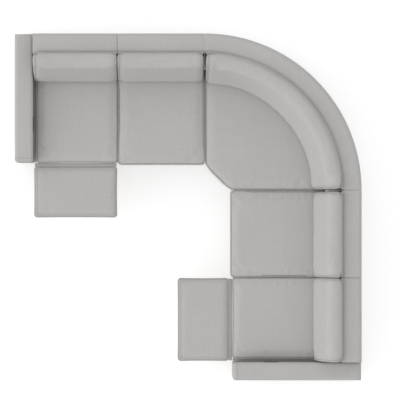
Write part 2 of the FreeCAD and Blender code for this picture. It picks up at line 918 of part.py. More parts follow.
def sector(face, start, stop):
    """A section face at the corner's start, swept round part of the corner."""
    return corner_turned(face, start).revolve(corner_centre, Vector(0, 0, -1), stop - start)


def chord_board(start, stop, z0, z1):
    """A straight board of the corner's back frame, between two posts."""
    rear = corner_radius - (post_front - post_depth)
    front = corner_radius - post_front
    corners = [corner_point(start, front, z0), corner_point(stop, front, z0),
               corner_point(stop, rear, z0), corner_point(start, rear, z0)]
    corners.append(corners[0])
    return Part.Face(Part.makePolygon(corners)).extrude(Vector(0, 0, z1 - z0))


def corner_back_posts():
    """The corner's back frame: posts with boards between their feet and heads."""
    low = foot_height + rail_height
    high = post_top - rail_height
    pitch = (90 - 2 * corner_post_inset) / (corner_posts - 1)
    angles = [corner_post_inset + pitch * i for i in range(corner_posts)]
    pieces = []
    for start, stop in zip(angles, angles[1:]):
        pieces.append(chord_board(start, stop, foot_height, low))
        pieces.append(chord_board(start, stop, high, post_top))
    for angle in angles[1:-1]:
        post = block(middle_stop - board / 2, middle_stop + board / 2,
                     post_front - post_depth + corner_post_relief,
                     post_front - corner_post_relief, low, high)
        pieces.append(corner_turned(post, angle))
    half_turn = math.degrees(board / 2 / (corner_radius - post_front))
    for angle in (angles[0] + half_turn, angles[-1] - half_turn):
        post = block(middle_stop - board / 2, middle_stop + board / 2,
                     post_front - post_depth + corner_post_relief,
                     post_front - corner_post_relief, low, high)
        pieces.append(corner_turned(post, angle))
    return pieces


def corner_chamfer():
    """The plan leg of the corner's slanted front."""
    return corner_radius - unit_depth


def corner_slab(inset, thickness, margin, z0, z1):
    """A board along the slanted front, inset from the seat's front line."""
    leg = corner_chamfer() + inset * math.sqrt(2)
    back = leg + thickness * math.sqrt(2)
    corners = [
        corner_centre + Vector(margin, leg - margin, z0),
        corner_centre + Vector(leg - margin, margin, z0),
        corner_centre + Vector(back - margin, margin, z0),
        corner_centre + Vector(margin, back - margin, z0),
    ]
    corners.append(corners[0])
    return Part.Face(Part.makePolygon(corners)).extrude(Vector(0, 0, z1 - z0))


def corner_base():
    """The corner's floor frame: two side boards, the front and a spine."""
    leg = corner_chamfer() + (panel_setback + panel_thickness) * math.sqrt(2)
    first = leg - board + corner_side_lap
    last = math.sqrt((corner_radius - shell_thickness - soft_clearance) ** 2 - board ** 2)
    side = Part.makeBox(board, last - first, static_base_top - foot_height,
                        corner_centre + Vector(0, first, foot_height))
    front = corner_slab(panel_setback + panel_thickness, board, board, foot_height, static_base_top)
    spine = Part.makeBox(spine_length, board, spine_height, Vector(0, -board / 2, foot_height))
    spine.rotate(Vector(0, 0, 0), Vector(0, 0, 1), 45)
    start = (leg + board * math.sqrt(2)) / math.sqrt(2)
    spine.translate(corner_centre + Vector(start, start, 0) * math.sqrt(0.5))
    return [side, mirrored(side), front, spine]


def corner_shell(frame):
    """The curved padded shell of the corner's back."""
    gap = math.degrees(shell_gap / corner_radius)
    shell = sector(shell_face(middle_stop, shell_foot), gap, 90 - gap)
    return single(shell.cut(Part.makeCompound(frame)))


def corner_back_cushion():
    """The curved wedge cushion of the corner, drawn in at both ends."""
    radius = corner_radius - back_front_depth
    gap = math.degrees(corner_back_gap / radius)
    ends = [(gap + math.degrees(offset / radius), share) for offset, share in back_ends]
    first = [corner_turned(back_section(middle_stop, share), angle) for angle, share in ends]
    last = [corner_turned(back_section(middle_stop, share), 90 - angle) for angle, share in ends]
    middle = []
    for step in range(1, corner_steps):
        middle.append(corner_turned(back_section(middle_stop, 1.0), 90 * step / corner_steps))
    return flat_faced(Part.makeLoft(first + middle + list(reversed(last)), True, True))


def corner_seat():
    """The corner's seat cushion: slanted front, curved back, domed top."""
    def outline_at(inset, height):
        near = seat_gap + inset
        leg = corner_chamfer() + inset * (math.sqrt(2) - 1)
        reach = corner_radius - seat_rear_depth - inset
        far = math.sqrt(reach ** 2 - near ** 2)
        corners = [
            corner_centre + Vector(near, leg, 0),
            corner_centre + Vector(leg, near, 0),
            corner_centre + Vector(far, near, 0),
        ]
        for step in range(corner_steps - 1, 0, -1):
            corners.append(corner_point(90 * step / corner_steps, reach, 0))
        corners.append(corner_centre + Vector(near, far, 0))
        side = draw_in if inset < cushion_edge else 0
        bows = [0, side] + [0] * corner_steps + [side]
        return rounded_outline(corners, cushion_corner, bows, height, range(3, len(corners) - 1))

    levels = crown_levels(static_cushion_bottom, seat_edge_height, seat_crown, cushion_edge, corner_slope)
    return stacked_cushion(outline_at, levels)


def corner_panel():
    """The upholstered slanted front of the corner."""
    return corner_slab(panel_setback, panel_thickness, board + panel_gap, panel_bottom,
                       static_base_top + web_thickness - panel_top_gap)


def corner_net():
    """The corner's webbing, a holed sheet trimmed to the frame."""
    size = corner_radius - seat_rear_depth
    sheet = net(middle_stop, middle_stop + size, seat_rear_depth, corner_radius, static_base_top,
                corner_bands, corner_bands)
    round_edge = Part.makeCylinder(size, back_height, corner_centre)
    front = corner_slab(panel_setback + panel_thickness, 2 * corner_radius, 0, 0, back_height)
    return single(sheet.common(round_edge).common(front))


def webbing():
    """Elastic webbing of every unit."""
    end = net(end_start, end_stop, end_soft_rear + hinge_rail_ahead - web_lap, front_web_rail + board,
              seat_frame_top, end_bands, end_bands)
    front = unit_depth - panel_setback - panel_thickness
    middle = net(end_stop, middle_stop, shell_thickness, front, static_base_top, middle_bands, middle_bands)
    return [end, middle, mirrored(end), mirrored(middle), corner_net()]


def tapered_foot(place):
    """A short square foot that narrows towards the floor."""
    outlines = []
    for half, z in ((foot_tip_half, 0), (foot_half, foot_height)):
        corners = [place + Vector(x * half, y * half, z) for x, y in ((-1, -1), (1, -1), (1, 1), (-1, 1))]
        corners.append(corners[0])
        outlines.append(Part.makePolygon(corners))
    return flat_faced(Part.makeLoft(outlines, True, True))


def feet():
    """The short feet of the left run, of its mirror and of the corner."""
    places = [
        (arm_outer + arm_width / 2, foot_inset),
        (arm_outer + arm_width / 2, arm_length - foot_inset),
        (end_stop, foot_inset + foot_rear_step),
        (end_stop, end_rail_front - foot_inset / 2),
        (middle_stop, foot_inset + foot_rear_step),
        (middle_stop, unit_depth - foot_inset),
    ]
    pieces = []
    for u, d in places:
        foot = tapered_foot(point(u, d, 0))
        pieces.append(foot)
        pieces.append(mirrored(foot))
    back = corner_point(45, corner_radius - post_front + post_depth / 2, 0)
    pieces.append(tapered_foot(back))
    pieces.append(tapered_foot(corner_centre + Vector(corner_foot_reach, corner_foot_reach, 0)))
    return pieces


def connectors():
    """Steel plates under the rails that hold neighbouring units together."""
    pieces = []
    half = connector_length / 2
    for u in (end_stop, middle_stop):
        for d in unit_plate_depths:
            plate_piece = block(u - board, u + board, d - half, d + half, foot_height - plate, foot_height)
            pieces.append(plate_piece)
            pieces.append(mirrored(plate_piece))
    for d in arm_plate_depths:
        plate_piece = block(end_start - arm_width / 2, end_start + board, d - half, d + half,
                            foot_height - plate, foot_height)
        pieces.append(plate_piece)
        pieces.append(mirrored(plate_piece))
    return pieces


def left_run():
    """Every piece of the left run, by its name without the side."""
    frame = back_frame()
    middle_posts = static_back_posts(end_stop, middle_stop)
    front = end_soft_rear
    return {
        "arm_frame": arm_frame(),
        "arm_cover": [arm_cover()],
        "footrest_rocker": [rocker(rocker_depths()[1])],
        "back_rocker": [rocker(rocker_depths()[0])],
        "end_base": end_base() + end_seat_frame(),
        "end_rear_panel": [rear_panel()],
        "end_seat_deck": [end_deck()],
        "end_seat_cushion": [seat_cushion(end_start + arm_gap, end_stop - seat_gap, front,
                                          recliner_front, end_cushion_bottom)],
        "lower_links": both_sides(lower_link()),
        "main_links": both_sides(main_link()),
        "cross_links": both_sides(cross_link()),
        "toggle_links": both_sides(toggle_link()),
        "drive_tube": [drive_tube()],
        "footrest_brackets": both_sides(footrest_bracket()),
        "footrest_board": [footrest_base()],
        "footrest_pad": [footrest_pad()],
        "back_frame": frame,
        "back_shell": [reclining_shell(frame)],
        "back_cushion": [back_cushion(end_start + arm_back_gap, end_stop - back_join_gap)],
        "middle_frame": middle_base() + middle_posts,
        "middle_front_panel": [front_panel(end_stop, middle_stop)],
        "middle_shell": [fixed_shell(end_stop + shell_gap, middle_stop - shell_gap, middle_posts)],
        "middle_seat_cushion": [seat_cushion(end_stop + seat_gap, middle_stop - seat_gap,
                                             seat_rear_depth, unit_depth, static_cushion_bottom)],
        "middle_back_cushion": [back_cushion(end_stop + back_join_gap, middle_stop - back_end_gap)],
    }


def corner_unit():
    """Every piece of the corner unit."""
    posts = corner_back_posts()
    return {
        "corner_frame": corner_base() + posts,
        "corner_front_panel": [corner_panel()],
        "corner_shell": [corner_shell(posts)],
        "corner_seat_cushion": [corner_seat()],
        "corner_back_cushion": [corner_back_cushion()],
    }


def shared_pieces():
    """Fixed pieces that both runs have, one node for each kind."""
    kinds = {
        "mechanism_brackets": both_sides(linkage_plate()) + both_sides(hinge_bracket()),
        "gear_motors": [drive_motor(), back_motor()],
        "switch_plates": [switch_plate()],
        "power_inlets": [power_inlet()],
    }
    nodes = {}
    for name, pieces in kinds.items():
        nodes[name] = pieces + [mirrored(piece) for piece in pieces]
    nodes["webbing"] = webbing()
    nodes["feet"] = feet()
    nodes["connector_plates"] = connectors()
    return nodes


def all_nodes():
    """Every node of the sofa with its solids."""
    nodes = {}
    for name, pieces in left_run().items():
        nodes["left_" + name] = pieces
        nodes["right_" + name] = [mirrored(piece) for piece in pieces]
    nodes.update(corner_unit())
    nodes.update(shared_pieces())
    return nodes


def main():
    """Write one STEP file for each node."""
    os.makedirs("parts", exist_ok=True)
    for name, pieces in all_nodes().items():
        for piece in pieces:
            if piece.ShapeType != "Solid" or not piece.isValid() or piece.Volume <= 0:
                raise ValueError("bad solid in " + name + " " + piece.ShapeType)
        shape = pieces[0] if len(pieces) == 1 else Part.makeCompound(pieces)
        shape.exportStep("parts/" + name + ".step")
        print(name, len(pieces), round(sum(piece.Volume for piece in pieces) / 1e6, 3))


if __name__ == "__main__":
    main()
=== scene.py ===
"""Corner sofa: the cloth, foam, timber and steel that show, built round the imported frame.

The left run is modelled and its pieces are mirrored across the diagonal of the
plan for the right run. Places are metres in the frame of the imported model.
"""

import json
import logging
import math
from dataclasses import dataclass, field
from enum import Enum
from functools import cache, cached_property
from typing import Callable, Iterable, Optional, Union

import bmesh
import bpy
from mathutils import Matrix, Vector, noise
from mathutils.kdtree import KDTree


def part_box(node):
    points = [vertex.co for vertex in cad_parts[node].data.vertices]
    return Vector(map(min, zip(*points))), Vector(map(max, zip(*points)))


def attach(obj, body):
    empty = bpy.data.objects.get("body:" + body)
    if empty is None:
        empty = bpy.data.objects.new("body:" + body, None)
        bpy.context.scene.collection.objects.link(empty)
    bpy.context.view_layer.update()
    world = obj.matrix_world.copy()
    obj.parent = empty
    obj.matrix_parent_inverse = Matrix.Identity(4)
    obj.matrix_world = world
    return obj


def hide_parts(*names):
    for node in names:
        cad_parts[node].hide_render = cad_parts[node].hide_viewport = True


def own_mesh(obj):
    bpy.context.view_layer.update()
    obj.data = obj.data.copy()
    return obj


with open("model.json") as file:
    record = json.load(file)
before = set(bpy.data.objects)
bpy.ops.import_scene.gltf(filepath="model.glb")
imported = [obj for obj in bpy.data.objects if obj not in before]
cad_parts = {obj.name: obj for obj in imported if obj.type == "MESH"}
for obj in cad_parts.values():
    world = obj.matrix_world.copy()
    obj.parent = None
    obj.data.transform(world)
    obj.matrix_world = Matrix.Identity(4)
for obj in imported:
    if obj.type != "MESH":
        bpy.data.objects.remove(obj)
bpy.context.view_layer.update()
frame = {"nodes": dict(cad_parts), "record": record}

LOG = logging.getLogger("corner_sofa")

PHOTO_PIXELS = 400
METRES_PER_PIXEL = 0.0078
VIEW_CENTRE = Vector((0.094, 0.056, 0.0))
VIEW_HEIGHT = 0.5
LENS = 450.0
SENSOR = 36.0

SEAM_STEP = 0.010
BACK_REACH = 0.008
ROUND_SEGMENTS = 6
EDGE_SEGMENTS = 3
CUT_MERGE = 1e-6
FACING = 0.9
RIPPLE_SCALE = (3.1, 2.3, 2.7)
CORNER_CENTRE = Vector((0.1325, 0.1325, 0))
ACROSS = Matrix(((0, 1, 0, 0), (1, 0, 0, 0), (0, 0, 1, 0), (0, 0, 0, 1)))

# The mix node's colour sockets: share, first, second and result
MIX_INPUTS = (0, 6, 7)
MIX_RESULT = 2

Colour = tuple[float, float, float]
Path = list[Vector]
Box = tuple[Vector, Vector]  # The lowest and the highest corner
Move = Callable[[Vector], Vector]
Form = bmesh.types.BMesh
Socket = bpy.types.NodeSocket
Value = Union[float, tuple, bpy.types.ID, Socket]
Mesh = bpy.types.Mesh
Piece = bpy.types.Object


class Side(Enum):
    """The run that a piece belongs to, or the corner between them."""

    LEFT = "left"
    RIGHT = "right"
    CORNER = "corner"


# Shader building

class NodeSheet:
    """A node tree that is filled in one node at a time."""

    def __init__(self, tree: bpy.types.NodeTree) -> None:
        """Keep the tree."""
        self.tree = tree

    def add(self, kind: str, settings: Optional[dict] = None, sources: Optional[dict] = None,
            **values: Value) -> bpy.types.Node:
        """Place a node.

        Args:
            kind: The node's type name.
            settings: Attributes of the node itself.
            sources: Values or sources by socket number or name; None leaves a socket alone.
            values: Values or sources by socket name, with _ for a space.

        Returns:
            The new node.
        """
        node = self.tree.nodes.new(kind)
        for key, value in (settings or {}).items():
            setattr(node, key, value)
        for key, value in (sources or {}).items():
            if value is not None:
                self.feed(node, key, value)
        self.fill(node, **values)
        return node

    def fill(self, node: bpy.types.Node, **values: Value) -> None:
        """Give a node values or sources, by socket name with _ for a space."""
        for key, value in values.items():
            self.feed(node, key.replace("_", " "), value)

    def feed(self, node: bpy.types.Node, socket: str | int, value: Value) -> None:
        """Give a socket a value, or link a source socket to it.

        Args:
            node: The node that takes the value.
            socket: The socket's name or number.
            value: A number, a tuple or a source socket.
        """
        target = node.inputs[socket]
        if isinstance(value, Socket):
            self.tree.links.new(value, target)
        elif isinstance(value, tuple) and len(value) == 3 and target.type == "RGBA":
            target.default_value = (*value, 1.0)
        else:
            target.default_value = value

    def maths(self, operation: str, first: Value, second: Value = 0.0) -> Socket:
        """The result of a scalar operation on two values or sockets."""
        return self.add("ShaderNodeMath", {"operation": operation}, {0: first, 1: second}).outputs[0]

    def vector(self, operation: str, first: Value, second: Optional[Value] = None,
               scale: Optional[Value] = None) -> bpy.types.Node:
        """A vector operation, on one vector or two or on a vector and a number."""
        sources = {0: first, 1: second, "Scale": scale}
        return self.add("ShaderNodeVectorMath", {"operation": operation}, sources)

    def noise(self, places: Socket, scale: Value, detail: float = 2.0) -> Socket:
        """A noise value about one half, as a socket."""
        return self.add("ShaderNodeTexNoise", Vector=places, Scale=scale, Detail=detail).outputs[0]

    def mix(self, share: Socket, first: Value, second: Value) -> Socket:
        """The colour that lies a share of the way from the first to the second."""
        sources = dict(zip(MIX_INPUTS, (share, first, second)))
        return self.add("ShaderNodeMix", {"data_type": "RGBA"}, sources).outputs[MIX_RESULT]

    def group(self, tree: bpy.types.NodeTree, **values: Value) -> bpy.types.Node:
        """Place a shader group with its inputs."""
        return self.add("ShaderNodeGroup", {"node_tree": tree}, **values)


@dataclass
class EffectLibrary:
    """The shader groups that several finishes share, each built at its first use."""

    streak_along: float = 5.0
    streak_across: float = 210.0
    patch_scale: float = 2.6
    ring_scale: float = 3.0
    ring_share: float = 0.65
    fibre_scale: float = 180.0
    rub_scale: float = 24.0

    def start(self, name: str, inputs: dict[str, float | tuple],
              outputs: Iterable[str]) -> tuple[NodeSheet, bpy.types.Node, bpy.types.Node]:
        """Open a new group.

        Args:
            name: The group's name.
            inputs: The default of each input by its name, a number or a colour.
            outputs: The outputs' names; Colour is a colour and the others are numbers.

        Returns:
            The group's sheet, its input node and its output node.
        """
        tree = bpy.data.node_groups.new(name, "ShaderNodeTree")
        for label, value in inputs.items():
            kind = "NodeSocketColor" if isinstance(value, tuple) else "NodeSocketFloat"
            tree.interface.new_socket(label, in_out="INPUT", socket_type=kind).default_value = value
        for label in outputs:
            kind = "NodeSocketColor" if label == "Colour" else "NodeSocketFloat"
            tree.interface.new_socket(label, in_out="OUTPUT", socket_type=kind)
        sheet = NodeSheet(tree)
        return sheet, sheet.add("NodeGroupInput"), sheet.add("NodeGroupOutput")

    @cached_property
    def weave(self) -> bpy.types.NodeTree:
        """Threads over and under each other on whichever way a face looks.

        Returns:
            The group, with Height and Thread outputs.
        """
        sheet, source, result = self.start("weave", {"Pitch": 0.003, "Slub": 0.5}, ("Height", "Thread"))
        places = sheet.add("ShaderNodeTexCoord")
        turns = sheet.maths("DIVIDE", 2 * math.pi, source.outputs["Pitch"])
        scaled = sheet.vector("SCALE", places.outputs["Object"], scale=turns)
        waves = sheet.vector("SINE", scaled.outputs[0])
        x, y, z = sheet.add("ShaderNodeSeparateXYZ", Vector=waves.outputs[0]).outputs
        crossed = sheet.add("ShaderNodeCombineXYZ", X=sheet.maths("MULTIPLY", y, z),
                            Y=sheet.maths("MULTIPLY", x, z), Z=sheet.maths("MULTIPLY", x, y))
        facing = sheet.vector("MULTIPLY", places.outputs["Normal"], places.outputs["Normal"])
        weave = sheet.vector("DOT_PRODUCT", crossed.outputs[0], facing.outputs[0]).outputs["Value"]
        streaks = []
        along, across = self.streak_along, self.streak_across
        for stretch in ((along, across, across), (across, along, across)):
            drawn_out = sheet.vector("MULTIPLY", places.outputs["Object"], stretch)
            streaks.append(sheet.noise(drawn_out.outputs[0], 1.0, detail=3.0))
        thread = sheet.maths("MULTIPLY", sheet.maths("ADD", *streaks), 0.5)
        lifted = sheet.maths("MULTIPLY", sheet.maths("SUBTRACT", thread, 0.5), source.outputs["Slub"])
        sheet.fill(result, Height=sheet.maths("ADD", sheet.maths("MULTIPLY", weave, 0.5), lifted),
                   Thread=thread)
        return sheet.tree

    @cached_property
    def mottle(self) -> bpy.types.NodeTree:
        """Uneven lightness, in broad patches and in small flecks.

        Returns:
            The group, with a Colour output.
        """
        grey = (0.5, 0.5, 0.5, 1.0)
        sheet, source, result = self.start(
            "mottle", {"Colour": grey, "Patches": 0.05, "Flecks": 0.05, "Fleck Scale": 60.0}, ("Colour",))
        places = sheet.add("ShaderNodeTexCoord").outputs["Object"]
        broad = sheet.maths("SUBTRACT", sheet.noise(places, self.patch_scale), 0.5)
        small = sheet.maths("SUBTRACT", sheet.noise(places, source.outputs["Fleck Scale"], detail=3.0), 0.5)
        change = sheet.maths("ADD", sheet.maths("MULTIPLY", broad, source.outputs["Patches"]),
                             sheet.maths("MULTIPLY", small, source.outputs["Flecks"]))
        level = sheet.maths("ADD", sheet.maths("MULTIPLY", change, 2.0), 1.0)
        sheet.fill(result, Colour=sheet.vector("SCALE", source.outputs["Colour"], scale=level).outputs[0])
        return sheet.tree

    @cached_property
    def grain(self) -> bpy.types.NodeTree:
        """Year rings of sawn timber, wandering along the board.

        Returns:
            The group, with Colour and Height outputs.
        """
        sheet, source, result = self.start(
            "grain", {"Early": (0.6, 0.45, 0.3, 1.0), "Late": (0.4, 0.27, 0.15, 1.0), "Rings": 60.0},
            ("Colour", "Height"))
        places = sheet.add("ShaderNodeTexCoord").outputs["Object"]
        wander = sheet.noise(places, self.ring_scale, detail=3.0)
        band = sheet.maths("PINGPONG", sheet.maths("MULTIPLY", wander, source.outputs["Rings"]), 1.0)
        fibres = sheet.noise(places, self.fibre_scale, detail=4.0)
        share = sheet.maths("ADD", sheet.maths("MULTIPLY", band, self.ring_share),
                            sheet.maths("MULTIPLY", fibres, 1.0 - self.ring_share))
        tone = sheet.mix(share, source.outputs["Early"], source.outputs["Late"])
        sheet.fill(result, Colour=tone, Height=fibres)
        return sheet.tree

    @cached_property
    def skin(self) -> bpy.types.NodeTree:
        """The fine pebbled surface of powder coat and moulded plastic.

        Returns:
            The group, with Height and Rub outputs.
        """
        sheet, source, result = self.start("skin", {"Grain": 900.0}, ("Height", "Rub"))
        places = sheet.add("ShaderNodeTexCoord").outputs["Object"]
        sheet.fill(result, Height=sheet.noise(places, source.outputs["Grain"]),
                   Rub=sheet.noise(places, self.rub_scale, detail=4.0))
        return sheet.tree


EFFECTS = EffectLibrary()


def new_material(name: str) -> tuple[NodeSheet, bpy.types.Node, bpy.types.Material]:
    """An empty material with its main shader.

    Args:
        name: The material's name.

    Returns:
        The sheet to fill in, the main shader and the material.
    """
    material = bpy.data.materials.new(name)
    material.use_nodes = True
    return NodeSheet(material.node_tree), material.node_tree.nodes["Principled BSDF"], material


def bumped(sheet: NodeSheet, height: Socket, depth: float, strength: float) -> Socket:
    """The normal that a height of some depth in metres gives, as a socket."""
    return sheet.add("ShaderNodeBump", Strength=strength, Distance=depth, Height=height).outputs[0]


@dataclass(frozen=True)
class ClothFinish:
    """A woven cloth with slubby threads."""

    name: str
    light: Colour
    dark: Colour
    pitch: float = 0.0026
    slub: float = 0.9
    relief: float = 0.0007
    relief_strength: float = 0.6
    roughness: float = 0.92
    shine: float = 0.25
    sheen: float = 0.18
    sheen_roughness: float = 0.45
    patches: float = 0.035
    flecks: float = 0.07
    fleck_scale: float = 70.0

    def build(self) -> bpy.types.Material:
        """Make the material.

        Returns:
            The cloth's material.
        """
        sheet, shader, material = new_material(self.name)
        weave = sheet.group(EFFECTS.weave, Pitch=self.pitch, Slub=self.slub)
        yarn = sheet.mix(weave.outputs["Thread"], self.dark, self.light)
        tone = sheet.group(EFFECTS.mottle, Colour=yarn, Patches=self.patches, Flecks=self.flecks,
                           Fleck_Scale=self.fleck_scale)
        relief = bumped(sheet, weave.outputs["Height"], self.relief, self.relief_strength)
        sheet.fill(shader, Base_Color=tone.outputs[0], Normal=relief, Roughness=self.roughness,
                   Specular_IOR_Level=self.shine, Sheen_Weight=self.sheen,
                   Sheen_Roughness=self.sheen_roughness)
        return material


@dataclass(frozen=True)
class TimberFinish:
    """Sawn or peeled timber without varnish."""

    name: str
    early: Colour
    late: Colour
    rings: float = 40.0
    relief: float = 0.0004
    relief_strength: float = 0.5
    roughness: float = 0.72

    def build(self) -> bpy.types.Material:
        """Make the material.

        Returns:
            The timber's material.
        """
        sheet, shader, material = new_material(self.name)
        grain = sheet.group(EFFECTS.grain, Early=self.early, Late=self.late, Rings=self.rings)
        relief = bumped(sheet, grain.outputs["Height"], self.relief, self.relief_strength)
        sheet.fill(shader, Base_Color=grain.outputs["Colour"], Normal=relief, Roughness=self.roughness)
        return material


@dataclass(frozen=True)
class CoatedFinish:
    """Powder-coated steel or moulded plastic."""

    name: str
    colour: Colour
    rubbed: Colour
    roughness: float
    grain: float = 900.0
    relief: float = 0.00012
    relief_strength: float = 0.5
    wear: float = 0.25
    coat: float = 0.0

    def build(self) -> bpy.types.Material:
        """Make the material.

        Returns:
            The coated or moulded material.
        """
        sheet, shader, material = new_material(self.name)
        skin = sheet.group(EFFECTS.skin, Grain=self.grain)
        spread = sheet.maths("MULTIPLY", sheet.maths("SUBTRACT", skin.outputs["Rub"], 0.5), self.wear)
        relief = bumped(sheet, skin.outputs["Height"], self.relief, self.relief_strength)
        sheet.fill(shader, Base_Color=sheet.mix(skin.outputs["Rub"], self.colour, self.rubbed),
                   Roughness=sheet.maths("ADD", spread, self.roughness), Normal=relief,
                   Coat_Weight=self.coat)
        return material


class Finish(Enum):
    """Every finish on the sofa, by the frame's material slot; the piping has its own."""

    upholstery = ClothFinish("warm_grey_cloth", (0.518, 0.505, 0.494), (0.420, 0.409, 0.401))
    piping_cloth = ClothFinish("piping_cloth", (0.47, 0.46, 0.447), (0.39, 0.38, 0.37), pitch=0.0018,
                               relief=0.0004)
    deck_cloth = ClothFinish("deck_cloth", (0.20, 0.195, 0.19), (0.13, 0.127, 0.122), pitch=0.0016,
                             sheen=0.05)
    webbing = ClothFinish("elastic_webbing", (0.045, 0.042, 0.040), (0.022, 0.021, 0.020), pitch=0.005,
                          relief=0.0012, sheen=0.0)
    timber = TimberFinish("softwood", (0.60, 0.44, 0.27), (0.43, 0.28, 0.15))
    plywood = TimberFinish("plywood", (0.56, 0.42, 0.27), (0.42, 0.29, 0.17), rings=14.0)
    steel = CoatedFinish("black_powder_coat", (0.018, 0.018, 0.020), (0.035, 0.035, 0.037), 0.42)
    motor_housing = CoatedFinish("motor_housing", (0.030, 0.030, 0.033), (0.045, 0.045, 0.047), 0.55,
                                 grain=1400.0)
    switch_plastic = CoatedFinish("switch_plastic", (0.035, 0.035, 0.038), (0.05, 0.05, 0.053), 0.5,
                                  grain=1400.0)
    rocker_plastic = CoatedFinish("rocker_plastic", (0.012, 0.012, 0.013), (0.02, 0.02, 0.021), 0.3,
                                  grain=1800.0, coat=0.25)
    foot_plastic = CoatedFinish("foot_plastic", (0.014, 0.014, 0.014), (0.026, 0.026, 0.026), 0.6)

    @cache
    def material(self) -> bpy.types.Material:
        """The finish's material, made at its first use."""
        return self.value.build()

    def dress(self, piece: Piece) -> None:
        """Give a piece this finish all over.

        Args:
            piece: The object to dress.
        """
        if not piece.material_slots:
            piece.data.materials.append(self.material())
        for place in piece.material_slots:
            place.material = self.material()


# Mesh helpers

def left_part(node: str) -> Box:
    """The box of the left run's share of a node that both runs have."""
    places = [v.co for v in frame["nodes"][node].data.vertices if v.co.x < 0 < v.co.y]
    return tuple(Vector([pick(place[i] for place in places) for i in range(3)]) for pick in (min, max))


def linked(name: str, data: bpy.types.ID) -> Piece:
    """Put a new object in the scene.

    Args:
        name: The object's name.
        data: Its mesh, lamp or camera.

    Returns:
        The new object.
    """
    piece = bpy.data.objects.new(name, data)
    bpy.context.scene.collection.objects.link(piece)
    return piece


def everything(form: Form) -> list:
    """All the parts of a mesh in the making, as an operator's geometry."""
    return form.verts[:] + form.edges[:] + form.faces[:]


def cut(form: Form, axis: int, place: Vector) -> None:
    """Cut a mesh square to an axis, at a place."""
    normal = Vector([float(i == axis) for i in range(3)])
    bmesh.ops.bisect_plane(form, geom=everything(form), plane_co=place, plane_no=normal, dist=CUT_MERGE)


def slice_grid(form: Form, axis: int, room: Box, step: float) -> None:
    """Cut a mesh across at even distances, so that it can be shaped.

    Args:
        form: The mesh to cut.
        axis: The axis that the cuts stand across.
        room: The mesh's box.
        step: The wanted distance between cuts.
    """
    low, high = room[0][axis], room[1][axis]
    count = max(1, round((high - low) / step))
    for i in range(1, count):
        cut(form, axis, Vector([1.0] * 3) * (low + (high - low) * i / count))


def window(form: Form, room: Box, axes: tuple[int, int]) -> list[bmesh.types.BMFace]:
    """Cut a mesh along a window's four sides.

    Args:
        form: The mesh to cut.
        room: The window's box.
        axes: The two axes that span the window.

    Returns:
        The faces in the window, on either side of the mesh.
    """
    for axis in axes:
        for corner in room:
            cut(form, axis, corner)
    low, high = room
    return [f for f in form.faces if all(low[i] < f.calc_center_median()[i] < high[i] for i in axes)]


def extrude(form: Form, faces: list[bmesh.types.BMFace], move: Vector, keep: bool = True) -> None:
    """Draw faces out along a move; keep says whether the first ones stay."""
    new = bmesh.ops.extrude_face_region(form, geom=faces, use_keep_orig=keep)
    bmesh.ops.translate(form, vec=move, verts=[g for g in new["geom"] if isinstance(g, bmesh.types.BMVert)])


def rounded(form: Form, parts: list, reach: float, segments: int = EDGE_SEGMENTS,
            affect: str = "EDGES") -> None:
    """Round edges or corners of a mesh."""
    bmesh.ops.bevel(form, geom=parts, offset=reach, segments=segments, profile=0.5, affect=affect,
                    material=-1, offset_type="OFFSET")


def rounded_outline(form: Form, corners: list[bmesh.types.BMVert], reach: float) -> Path:
    """Round corners of a form's only face.

    Args:
        form: The form with the face.
        corners: The corners to round.
        reach: How far from a corner the rounding starts.

    Returns:
        The places of the face's new outline.
    """
    rounded(form, corners, reach, ROUND_SEGMENTS, "VERTICES")
    form.faces.ensure_lookup_table()
    return [v.co.copy() for v in form.faces[0].verts]


def block(form: Form, room: Box) -> None:
    """Put a plain block in a form.

    Args:
        form: The empty form.
        room: The block's box.
    """
    low, high = room
    bmesh.ops.create_cube(form, size=1.0)
    bmesh.ops.scale(form, vec=high - low, verts=form.verts[:])
    bmesh.ops.translate(form, vec=(low + high) / 2, verts=form.verts[:])


def ripple(form: Form, axis: int, scale: float, height: float, stop: float = math.inf) -> None:
    """Make a mesh uneven along an axis.

    Args:
        form: The mesh to change.
        axis: The axis that its points move along.
        scale: How close the ripples stand.
        height: How far a point moves at most.
        stop: Where on the axis the points stay as they are.
    """
    for vertex in form.verts:
        if vertex.co[axis] <= stop:
            vertex.co[axis] += noise.noise(vertex.co * scale) * height


def resampled(corners: Path, step: float = SEAM_STEP) -> Path:
    """Even places along a closed line.

    Args:
        corners: The line's corners, in order.
        step: The wanted distance between places.

    Returns:
        The places, without the first again at the end.
    """
    places: Path = []
    for start, stop in zip(corners, corners[1:] + corners[:1]):
        count = max(1, round((stop - start).length / step))
        places.extend(start.lerp(stop, i / count) for i in range(count))
    return places


def finder(places: Path) -> KDTree:
    """Make a tree that finds the nearest of some places.

    Args:
        places: The places.

    Returns:
        The tree.
    """
    tree = KDTree(len(places))
    for i, place in enumerate(places):
        tree.insert(place, i)
    tree.balance()
    return tree


def finished(name: str, form: Form) -> Mesh:
    """Turn a form into a smooth-shaded mesh.

    Args:
        name: The mesh's name.
        form: The form, which is freed.

    Returns:
        The new mesh.
    """
    mesh = bpy.data.meshes.new(name)
    form.to_mesh(mesh)
    form.free()
    mesh.shade_smooth()
    return mesh


def mesh_object(name: str, form: Form) -> Piece:
    """An object from a form, with its faces outwards; the form is freed."""
    bmesh.ops.recalc_face_normals(form, faces=form.faces[:])
    return linked(name, finished(name, form))


